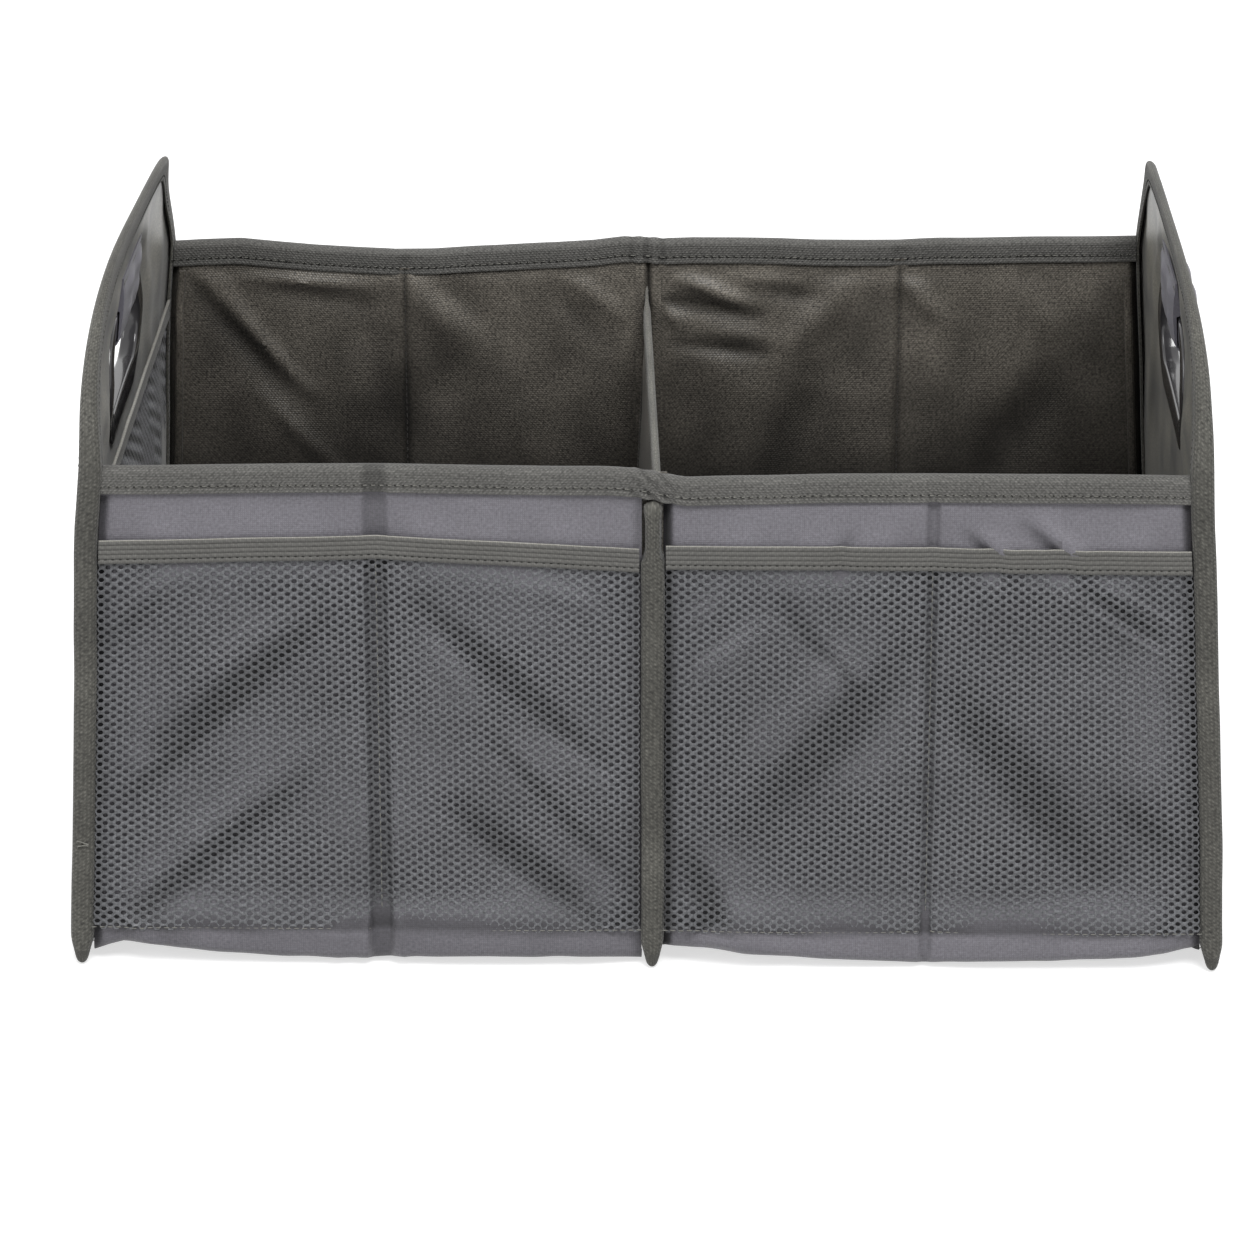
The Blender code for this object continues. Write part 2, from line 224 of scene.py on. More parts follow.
@dataclass(frozen=True)
class Stance:
    """How an end panel of the loose basket stands against its upright place, in millimetres.

    It spreads towards its feet, its arch leans in, more at its back than at its front, and its
    middle bows out. The outs are outward distances at heights up to the rim.
    """

    outs: tuple[tuple[float, float], ...]
    lean_front: float
    lean_back: float
    power: float
    bow: float

    def at(self, y: Array | float, z: Array | float, bowed: float = 1.0) -> Array:
        """How far the panel stands outwards at places of its plane, in metres, with a share of its bow."""
        y, z = np.asarray(y), np.asarray(z)
        over = np.clip((z - S.rim) / S.arch_rise, 0.0, 1.1)
        back = (y + S.half_depth) / (2 * S.half_depth)
        lean = (self.lean_front * (1 - back) + self.lean_back * back) / 1000 * over**self.power
        bow = (
            (1 - np.clip(y / S.half_depth, -1, 1) ** 2) * ease((z - 0.10) / 0.14) * (1 - ease((z - 0.268) / 0.055))
        )
        return table_at(self.outs, z) - lean + bowed * self.bow / 1000 * bow


STANCES = {
    Side.LEFT: Stance(
        ((0, 12.9), (24, 11.9), (70, 9.6), (116, 7.3), (162, 5.2), (192, 4.3), (223, 2.6), (253, -0.4)), -2.4, 16.0,
        2.93, 6.5,
    ),
    Side.RIGHT: Stance(
        ((0, 13.2), (24, 11.9), (70, 10.0), (116, 7.3), (162, 4.6), (192, 2.9), (223, 0.5), (253, -1.2)), 2.8, 9.6,
        3.6, 3.5,
    ),
}


# Making meshes


def put(name: str, data: bpy.types.ID) -> bpy.types.Object:
    """Puts a mesh, a camera or a lamp into the scene."""
    made = bpy.data.objects.new(name, data)
    bpy.context.scene.collection.objects.link(made)
    return made


def make_piece(
    name: str, points: Array, faces: Sequence, finish: "Finish", uv: Array | None = None, angle: float = 50.0,
    painted_shading: Array | None = None,
) -> bpy.types.Object:
    """A closed mesh as a finished piece, its faces turned outwards.

    Args:
        name: The piece's name.
        points: Its points, one row each.
        faces: Rows of point numbers.
        finish: What it is made of.
        uv: A place on the cloth for each point, in metres.
        angle: Edges sharper than this stay sharp, in degrees.
        painted_shading: The painted shade at each point, from 0 to 1, in folds and gaps; below 0 a painted
            highlight.

    Returns:
        The new object, in the scene.
    """
    mesh = bpy.data.meshes.new(name)
    mesh.from_pydata(np.asarray(points).tolist(), [], [list(map(int, face)) for face in faces])
    if uv is not None:
        corners = np.zeros(len(mesh.loops), np.int32)
        mesh.loops.foreach_get("vertex_index", corners)
        layer = mesh.uv_layers.new(name="cloth")
        layer.data.foreach_set("uv", np.asarray(uv, np.float32)[corners].ravel())
    # Painted shade and painted highlight, kept on each point for the material.
    if painted_shading is not None:
        shading_layer = mesh.attributes.new("painted_shading", "FLOAT", "POINT")
        shading_layer.data.foreach_set("value", np.asarray(painted_shading, np.float32).ravel())
    shape = bmesh.new()
    shape.from_mesh(mesh)
    bmesh.ops.recalc_face_normals(shape, faces=shape.faces)
    shape.to_mesh(mesh)
    shape.free()
    mesh.polygons.foreach_set("use_smooth", np.ones(len(mesh.polygons), bool))
    mesh.set_sharp_from_angle(angle=math.radians(angle))
    mesh.materials.append(finish.material())
    return put(name, mesh)


def grid_faces(rows: int, columns: int, start: int = 0, closed: bool = False) -> Array:
    """The quads of a grid of points numbered row by row; closed joins its last column to its first."""
    count = columns if closed else columns - 1
    row, column = np.meshgrid(np.arange(rows - 1), np.arange(count), indexing="ij")
    after = (column + 1) % columns
    quads = [
        row * columns + column, row * columns + after, (row + 1) * columns + after, (row + 1) * columns + column
    ]
    return np.stack([quad.ravel() for quad in quads], axis=1) + start


def normals_of(grid: Array) -> Array:
    """The unit normals of a grid of points."""
    across = np.cross(np.gradient(grid, axis=1), np.gradient(grid, axis=0))
    return across / np.maximum(np.linalg.norm(across, axis=2, keepdims=True), 1e-12)


def cloth_sheet(
    name: str, grid: Array, outwards: Vector, thickness: float, finish: "Finish", painted_shading: Array | float = 0.0
) -> bpy.types.Object:
    """A thin closed sheet under a grid of points that are its shown face.

    Args:
        name: The piece's name.
        grid: Points as rows by columns by three.
        outwards: The direction that the shown face looks in, roughly.
        thickness: The cloth's thickness.
        finish: The cloth.
        painted_shading: The painted shade at each point, from 0 to 1, in folds and gaps; below 0 a painted
            highlight.

    Returns:
        The sheet.
    """
    rows, columns = grid.shape[:2]
    normals = normals_of(grid)
    if (normals.mean(axis=(0, 1)) * np.array(outwards)).sum() < 0:
        normals = -normals
    points = np.concatenate([grid.reshape(-1, 3), (grid - normals * thickness).reshape(-1, 3)])
    count = rows * columns
    front = grid_faces(rows, columns)
    back = front[:, ::-1] + count
    number = np.arange(count).reshape(rows, columns)
    rim = [number[0, :], number[:, -1], number[-1, ::-1], number[::-1, 0]]
    ring = np.concatenate([edge[:-1] for edge in rim])
    after = np.roll(ring, -1)
    sides = np.stack([ring, ring + count, after + count, after], axis=1)
    across = np.concatenate([[0], np.cumsum(np.linalg.norm(np.diff(grid.mean(axis=0), axis=0), axis=1))])
    down = np.concatenate([[0], np.cumsum(np.linalg.norm(np.diff(grid.mean(axis=1), axis=0), axis=1))])
    flat = np.stack(np.meshgrid(across, down), axis=2).reshape(-1, 2)
    depth = np.broadcast_to(painted_shading, (rows, columns)).ravel()
    return make_piece(
        name, points, [*front, *back, *sides], finish, np.concatenate([flat, flat]),
        painted_shading=np.concatenate([depth, depth]),
    )


def swept(
    name: str, rings: Array, finish: "Finish", looped: bool = False, angle: float = 50.0,
    painted_shading: Array | None = None,
) -> bpy.types.Object:
    """A closed section carried along a path.

    Args:
        name: The piece's name.
        rings: Points as places along the path by places round the section by three.
        finish: What it is made of.
        looped: Whether the path comes back to its start; otherwise both ends are capped.
        angle: Edges sharper than this stay sharp, in degrees.
        painted_shading: The painted shade of the rings, or of their points, from 0 to 1; below 0 a painted
            highlight.

    Returns:
        The piece.
    """
    count, around = rings.shape[:2]
    closed = np.concatenate([rings, rings[:1]]) if looped else rings
    faces = list(grid_faces(count, around, closed=True))
    if looped:
        last, first = np.arange(around) + (count - 1) * around, np.arange(around)
        faces += list(np.stack([last, np.roll(last, -1), np.roll(first, -1), first], axis=1))
    else:
        faces += [np.arange(around)[::-1], np.arange(around) + (count - 1) * around]
    middle = closed.mean(axis=1)
    along = np.concatenate([[0], np.cumsum(np.linalg.norm(np.diff(middle, axis=0), axis=1))])[:count]
    edge = np.linalg.norm(np.diff(rings[0], axis=0), axis=1)
    around_at = np.concatenate([[0], np.cumsum(edge)])
    uv = np.stack(np.meshgrid(along, around_at, indexing="ij"), axis=2).reshape(-1, 2)
    depth = None if painted_shading is None else np.broadcast_to(np.atleast_2d(painted_shading.T).T, (len(rings), around)).ravel()
    return make_piece(name, rings.reshape(-1, 3), faces, finish, uv, angle, depth)


def inside(points: Array, loop: Array) -> Array:
    """Which points lie inside a closed loop."""
    x, y = points[:, 0][:, None], points[:, 1][:, None]
    ax, ay = loop[:, 0][None], loop[:, 1][None]
    bx, by = np.roll(loop[:, 0], -1)[None], np.roll(loop[:, 1], -1)[None]
    crosses = (ay > y) != (by > y)
    slope = np.where(np.abs(by - ay) < 1e-12, 1e-12, by - ay)
    return ((crosses & (x < (bx - ax) * (y - ay) / slope + ax)).sum(axis=1) % 2).astype(bool)


def filled_outline(outline: Array, holes: Sequence[Array], spacing: float) -> tuple[Array, Array]:
    """Fills an outline, apart from its holes, with even triangles.

    Args:
        outline: The outer loop's points.
        holes: The holes' loops.
        spacing: The distance between the points inside.

    Returns:
        The points and the triangles.
    """
    def solid(places: Array) -> Array:
        """Which places lie inside the outline and outside of the holes."""
        return inside(places, outline) & ~np.any([inside(places, hole) for hole in holes] or [False], axis=0)

    loops = [outline, *holes]
    low, high = outline.min(axis=0), outline.max(axis=0)
    rows = np.arange(low[1], high[1], spacing * 0.866)
    inner = np.array(
        [(x + spacing / 2 * (k % 2), y) for k, y in enumerate(rows) for x in np.arange(low[0], high[0], spacing)]
    )
    edge = np.concatenate(loops)
    inner = inner[solid(inner)]
    near = np.array([np.hypot(*(edge - point).T).min() for point in inner])
    points = np.concatenate([edge, inner[near > spacing * 0.55]])
    links, start = [], 0
    for loop in loops:
        links += [(start + k, start + (k + 1) % len(loop)) for k in range(len(loop))]
        start += len(loop)
    made, _, triangles, *_ = delaunay_2d_cdt([Vector(point) for point in points], links, [], 1, 1e-7)
    flat = np.array([tuple(point) for point in made])
    triangles = np.array([triangle for triangle in triangles if len(triangle) == 3])
    return flat, triangles[solid(flat[triangles].mean(axis=1))]


def panel(
    name: str, flat: Array, triangles: Array, outer: Array, inner: Array, finish: "Finish"
) -> bpy.types.Object:
    """A closed panel between two faces that share one set of triangles.

    Args:
        name: The piece's name.
        flat: The points' places on the cloth.
        triangles: Rows of three point numbers.
        outer: The shown face's points.
        inner: The hidden face's points.
        finish: What it is made of.

    Returns:
        The panel.
    """
    count = len(flat)
    edges = np.concatenate([triangles[:, [0, 1]], triangles[:, [1, 2]], triangles[:, [2, 0]]])
    seen = {tuple(edge) for edge in edges.tolist()}
    rim = [(a, b) for a, b in seen if (b, a) not in seen]
    sides = [(b, a, a + count, b + count) for a, b in rim]
    faces = [*triangles, *(triangles[:, ::-1] + count), *sides]
    return make_piece(name, np.concatenate([outer, inner]), faces, finish, np.concatenate([flat, flat]))


# Finishes


def linear(text: str) -> tuple[float, float, float, float]:
    """An sRGB hex colour as linear red, green, blue and alpha."""
    parts = [int(text[place : place + 2], 16) / 255 for place in (0, 2, 4)]
    return (*(p / 12.92 if p <= 0.04045 else ((p + 0.055) / 1.055) ** 2.4 for p in parts), 1.0)


def add_node(tree: Tree, kind: str, inputs: dict | None = None, **settings) -> bpy.types.Node:
    """Adds a node with its settings, and sets or links its inputs.

    Args:
        tree: The node tree.
        kind: The node's type.
        inputs: Input names or numbers, with a value, or an output or a node's first output to link.
        **settings: The node's own properties.

    Returns:
        The node.
    """
    node = tree.nodes.new(kind)
    for key, value in settings.items():
        setattr(node, key, value)
    for key, value in (inputs or {}).items():
        if isinstance(value, bpy.types.Node):
            value = value.outputs[0]
        if isinstance(value, bpy.types.NodeSocket):
            tree.links.new(value, node.inputs[key])
        else:
            node.inputs[key].default_value = value
    return node


WAVE_PERIOD = 0.314159  # the wave texture's period at a scale of 1


@dataclass(frozen=True)
class Finish:
    """What a piece is made of. The name is the material's, and the slot is the record's."""

    name: str
    slot: str
    colour: str

    def material(self) -> bpy.types.Material:
        """The material, made once."""
        found = bpy.data.materials.get(self.name)
        if found:
            return found
        made = bpy.data.materials.new(self.name)
        made.use_nodes = True
        made.node_tree.nodes.clear()
        shader = self.dress(made.node_tree)
        add_node(made.node_tree, "ShaderNodeOutputMaterial", {"Surface": shader.outputs[0]})
        return made

    def dyed(self, tree: Tree, light: bpy.types.Node) -> bpy.types.NodeSocket:
        """The colour, made lighter and darker by a node's value."""
        grey = add_node(tree, "ShaderNodeCombineColor", {0: light, 1: light, 2: light})
        inputs = {0: 1.0, 6: linear(self.colour), 7: grey}
        return add_node(tree, "ShaderNodeMix", inputs, data_type="RGBA", blend_type="MULTIPLY").outputs[2]

    def dress(self, tree: Tree) -> bpy.types.Node:
        """Builds the shader's nodes and returns the last one."""
        raise NotImplementedError


@dataclass(frozen=True)
class Cloth(Finish):
    """A woven cloth: its threads cross at a real pitch, and its colour is uneven.

    The shade spreads the colour this far each way over some centimetres, and the fleck over about
    a millimetre. The relief is how high the threads stand. Low is the share of its colour that a
    cloth keeps deep inside a bay, a painted shade that darkens it towards the floor. The points'
    painted shading darkens it as painted shade in gaps, in folds and under the net, and brightens
    it where it is below 0, as painted highlights and as wear on tape edges.
    """

    pitch: float = 0.0008
    weave: Weave = Weave.PLAIN
    relief: float = 0.00010
    roughness: float = 0.75
    sheen: float = 0.20
    shade: float = 0.08
    fleck: float = 0.10
    contrast: float = 0.22
    low: float = 1.0

    def dress(self, tree: Tree) -> bpy.types.Node:
        """Threads for the relief and the colour, with two noises for the unevenness."""
        add = partial(add_node, tree)
        place = add("ShaderNodeTexCoord").outputs["UV"]
        scale = WAVE_PERIOD / self.pitch
        waves = {"Vector": place, "Distortion": 0.6, "Detail": 1.0, "Detail Scale": 0.6}
        warp, weft = (
            add("ShaderNodeTexWave", {**waves, "Scale": scale * share}, bands_direction=way).outputs["Fac"]
            for way, share in self.weave.value
        )
        threads = add("ShaderNodeMath", {0: warp, 1: weft}, operation="MULTIPLY")
        cloud = add("ShaderNodeTexNoise", {"Vector": place, "Scale": 28.0, "Detail": 2.0})
        speck = add("ShaderNodeTexNoise", {"Vector": place, "Scale": 700.0, "Detail": 2.0})
        factors = [
            add("ShaderNodeMapRange", {"Value": source, "To Min": 1 - share / 2, "To Max": 1 + share / 2})
            for share, source in ((self.contrast, threads), (self.fleck * 4, speck), (self.shade * 4, cloud))
        ]
        # Painted shade where the points' painted_shading is above 0, painted highlight where it is below 0.
        fold = add("ShaderNodeAttribute", attribute_name="painted_shading", attribute_type="GEOMETRY").outputs["Fac"]
        factors.append(add("ShaderNodeMapRange", {"Value": fold, "To Min": 1.0, "To Max": 0.12}, clamp=False))
        # Painted shade: the cloth is painted darker lower down in the bay.
        if self.low < 1:
            spot = add("ShaderNodeTexCoord").outputs["Object"]
            height = add("ShaderNodeSeparateXYZ", {0: spot}).outputs["Z"]
            heights = {"From Min": 0.12, "From Max": 0.245, "To Min": self.low, "To Max": 1.0}
            factors.append(add("ShaderNodeMapRange", {"Value": height, **heights}))
        light = factors[0]
        for factor in factors[1:]:
            light = add("ShaderNodeMath", {0: light, 1: factor}, operation="MULTIPLY")
        bump = add("ShaderNodeBump", {"Height": threads, "Strength": 0.9, "Distance": self.relief})
        looks = {
            "Base Color": self.dyed(tree, light), "Roughness": self.roughness, "Sheen Weight": self.sheen,
            "Sheen Roughness": 0.45, "Specular IOR Level": 0.35, "Normal": bump,
        }
        return add("ShaderNodeBsdfPrincipled", looks)


@dataclass(frozen=True)
class Moulded(Finish):
    """A moulded plastic or a pressed board, with its skin's fine grain."""

    roughness: float = 0.3
    grain: float = 900.0
    relief: float = 0.00003
    coat: float = 0.0

    def dress(self, tree: Tree) -> bpy.types.Node:
        """A fine grain for the relief and a slow one for the colour."""
        add = partial(add_node, tree)
        place = add("ShaderNodeTexCoord").outputs["Object"]
        grain = add("ShaderNodeTexNoise", {"Vector": place, "Scale": self.grain, "Detail": 3.0})
        slow = add("ShaderNodeTexNoise", {"Vector": place, "Scale": 60.0, "Detail": 2.0})
        light = add("ShaderNodeMapRange", {"Value": slow, "To Min": 0.85, "To Max": 1.15})
        bump = add("ShaderNodeBump", {"Height": grain, "Distance": self.relief})
        looks = {"Roughness": self.roughness, "Coat Weight": self.coat, "Normal": bump}
        return add("ShaderNodeBsdfPrincipled", {"Base Color": self.dyed(tree, light), **looks})


# Woven polyester, calendered: a smooth lavender grey with a soft satin light on its folds.
OUTER = Cloth(
    "woven_polyester_outer", "outer_cloth", "716f75", pitch=0.0010, relief=0.00008, roughness=0.52,
    shade=0.12, fleck=0.24, contrast=0.16,
)
# The bays' lining, a dark polyester twill with a thin back coat: brown charcoal with a dull shine.
# Its low share paints it darker lower in the bay, as shade.
LINING = Cloth(
    "polyester_twill_lining", "lining_cloth", "6e6961", pitch=0.0009, weave=Weave.TWILL, relief=0.00014,
    roughness=0.38, sheen=0.10, shade=0.42, fleck=0.70, contrast=0.34, low=0.20,
)
# The end panels' lining is the same twill, seen along its threads: painted sheen makes it lighter and patchy.
# Its low share also paints it darker lower in the bay, as shade.
END_LINING_PAINTED_SHEEN = Cloth(
    "polyester_twill_end_lining", "end_lining_cloth", "6a675b", pitch=0.0010, weave=Weave.TWILL, relief=0.00012,
    roughness=0.36, sheen=0.25, shade=1.10, fleck=0.80, contrast=0.26, low=0.45,
)
# Binding tape, a woven polyester with slanting ribs: olive grey and dry.
TAPE = Cloth(
    "woven_binding_tape", "binding_tape", "605f5c", pitch=0.0010, weave=Weave.TWILL, relief=0.00024,
    shade=0.14, fleck=0.50, contrast=0.50,
)
# The uprights' tape has been handled more and is darker.
EDGE_TAPE = replace(TAPE, name="woven_binding_tape_upright", colour="51504b", shade=0.22, fleck=0.60)
# Woven elastic: fine cross threads over its ribs.
ELASTIC = Cloth(
    "woven_elastic", "elastic_band", "62615e", pitch=0.0011, weave=Weave.RIBBED, relief=0.00012,
    roughness=0.80, fleck=0.16, contrast=0.30,
)
# The elastic's rolled edge is painted much lighter, as a highlight along its top.
PIPING_HIGHLIGHT = replace(ELASTIC, name="stretched_elastic_edge", colour="98968f", roughness=0.60, fleck=0.10)
# Knitted polyester net, stiffened: plain threads with a slight shine.
NET = Cloth(
    "knitted_polyester_net", "pocket_net", "66676a", pitch=0.0009, relief=0.00008, roughness=0.50,
    sheen=0.15, shade=0.05, fleck=0.55, contrast=0.24,
)
# The grip's sleeve is the outer cloth over a thin foam, and the floor is the outer cloth's darker sister.
SLEEVE = replace(
    OUTER, name="woven_polyester_sleeve", slot="grip_sleeve", colour="7c7a84", roughness=0.60, shade=0.05,
    fleck=0.14,
)
FLOOR = Cloth("woven_polyester_floor", "floor_cloth", "4a484e", pitch=0.0010, contrast=0.18)
# Spun polyester thread, lighter than the tape that it holds, and the lining's darker one.
THREAD = Cloth(
    "spun_polyester_thread", "binding_tape", "7b7a74", pitch=0.0006, weave=Weave.RIBBED, relief=0.00003,
    roughness=0.7, contrast=0.2,
)
DARK_THREAD = replace(THREAD, name="dark_polyester_thread", slot="lining_cloth", colour="2f2d2a")
# The needle's holes between the stitches: black dots of painted shade.
NEEDLE_HOLE_SHADE = replace(THREAD, name="needle_dent", colour="232220", roughness=0.9, sheen=0.0, contrast=0.1)
# Injection moulded ABS with a polished mould: a dark grey with sharp highlights.
RING = Moulded("moulded_gloss_abs", "grip_ring", "3a393b", roughness=0.16, relief=0.00001, coat=0.4)
# Pressed fibre board, matt and buff: hidden inside the cloth.
BOARD = Moulded("pressed_fibre_board", "stiffener_board", "b9b4a6", roughness=0.85, grain=400.0, relief=0.0001)


# Riding on the frame


@dataclass(frozen=True)
class Hold:
    """What a piece is held by: one body, or two with the stretch of X between them."""

    bodies: tuple[str, ...]
    turn: tuple[float, float] = (0.0, 0.0)

    def take(self, piece: bpy.types.Object, finish: Finish, stands_for: Sequence[str] = ()) -> bpy.types.Object:
        """Fixes a piece to its body; a piece between two bodies only has its place baked into its points.

        Args:
            piece: The finished piece.
            finish: What it is made of; not used.
            stands_for: The CAD nodes that it replaces.

        Returns:
            The piece.
        """
        if len(self.bodies) == 1:
            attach(piece, self.bodies[0])
        else:
            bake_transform(piece)
        if stands_for:
            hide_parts(*stands_for)
        LOG.info("%s: %d points", piece.name, len(piece.data.vertices))
        return piece

    def sew(self, name: str, seam: "Seam", rows: Sequence[Array], thread: Finish) -> None:
        """Sews rows of stitches and takes them like the hold's other pieces."""
        self.take(seam.sew(name, rows, thread), thread)


# Geometry Nodes


def empty_tree(name: str, inputs: Sequence[tuple[str, str, object]]) -> tuple[Tree, bpy.types.Node, bpy.types.Node]:
    """A new geometry tree with a geometry input and output and its named sizes.

    Args:
        name: The tree's name.
        inputs: Each size's name, socket type and usual value.

    Returns:
        The tree, its input node and its output node.
    """
    tree = bpy.data.node_groups.new(name, "GeometryNodeTree")
    tree.interface.new_socket("Geometry", in_out="INPUT", socket_type="NodeSocketGeometry")
    tree.interface.new_socket("Geometry", in_out="OUTPUT", socket_type="NodeSocketGeometry")
    for label, kind, value in inputs:
        socket = tree.interface.new_socket(label, in_out="INPUT", socket_type=kind)
        if value is not None:
            socket.default_value = value
    return tree, tree.nodes.new("NodeGroupInput"), tree.nodes.new("NodeGroupOutput")


def run_tree(tree: Tree, source: bpy.types.Mesh, sizes: dict[str, object]) -> bpy.types.Mesh:
    """Runs a geometry tree on a mesh and returns the result as a plain mesh.

    Args:
        tree: The tree.
        source: The mesh that it starts from.
        sizes: Values for its named inputs.

    Returns:
        The new mesh.
    """
    worker = put("worker", source)
    modifier = worker.modifiers.new("nodes", "NODES")
    modifier.node_group = tree
    for item in tree.interface.items_tree:
        if item.item_type == "SOCKET" and item.in_out == "INPUT" and item.name in sizes:
            modifier[item.identifier] = sizes[item.name]
    graph = bpy.context.evaluated_depsgraph_get()
    made = bpy.data.meshes.new_from_object(worker.evaluated_get(graph), depsgraph=graph)
    worker.modifiers.remove(modifier)
    bpy.data.objects.remove(worker)
    return made


@dataclass(frozen=True)
class Seam:
    """A row of sewn stitches along a path."""

    pitch: float = 0.0038
    length: float = 0.0028
    width: float = 0.0008
    height: float = 0.0005

    def tree(self) -> Tree:
        """Sets one low stitch at every pitch along the path, turned to its direction."""
        found = bpy.data.node_groups.get("stitch_row")
        if found:
            return found
        number = "NodeSocketFloat"
        tree, start, end = empty_tree(
            "stitch_row",
            [
                ("Pitch", number, 0.004), ("Length", number, 0.003), ("Width", number, 0.001),
                ("Height", number, 0.0005), ("Material", "NodeSocketMaterial", None),
            ],
        )
        add, size = partial(add_node, tree), start.outputs
        curve = add("GeometryNodeMeshToCurve", {"Mesh": size["Geometry"]})
        spaced = add("GeometryNodeResampleCurve", {"Curve": curve, "Length": size["Pitch"]}, mode="LENGTH")
        bead = add("GeometryNodeMeshUVSphere", {"Segments": 6, "Rings": 4, "Radius": 0.5})
        shape = add("ShaderNodeCombineXYZ", {"X": size["Height"], "Y": size["Width"], "Z": size["Length"]})
        shaped = add("GeometryNodeTransform", {"Geometry": bead.outputs["Mesh"], "Scale": shape})
        tangent = add("GeometryNodeInputTangent")
        turned = add("FunctionNodeAlignRotationToVector", {"Vector": tangent}, axis="Z", pivot_axis="AUTO")
        placed = add("GeometryNodeInstanceOnPoints", {"Points": spaced, "Instance": shaped, "Rotation": turned})
        real = add("GeometryNodeRealizeInstances", {"Geometry": placed})
        smooth = add("GeometryNodeSetShadeSmooth", {"Geometry": real})
        dressed = add("GeometryNodeSetMaterial", {"Geometry": smooth, "Material": size["Material"]})
        tree.links.new(dressed.outputs[0], end.inputs["Geometry"])
        return tree

    def sew(self, name: str, paths: Sequence[Array], finish: Finish) -> bpy.types.Object:
        """Sews stitches along paths.

        Args:
            name: The piece's name.
            paths: Each path's points.
            finish: The thread.

        Returns:
            The stitches as one piece.
        """
        points, edges, start = [], [], 0
        for path in paths:
            points += np.asarray(path).tolist()
            edges += [(start + k, start + k + 1) for k in range(len(path) - 1)]
            start += len(path)
        line = bpy.data.meshes.new(name + "_line")
        line.from_pydata(points, edges, [])
        sizes = {"Pitch": self.pitch, "Length": self.length, "Width": self.width, "Height": self.height,
                 "Material": finish.material()}
        mesh = run_tree(self.tree(), line, sizes)
        mesh.name = name
        mesh.uv_layers.new(name="cloth") if not mesh.uv_layers else None
        return put(name, mesh)


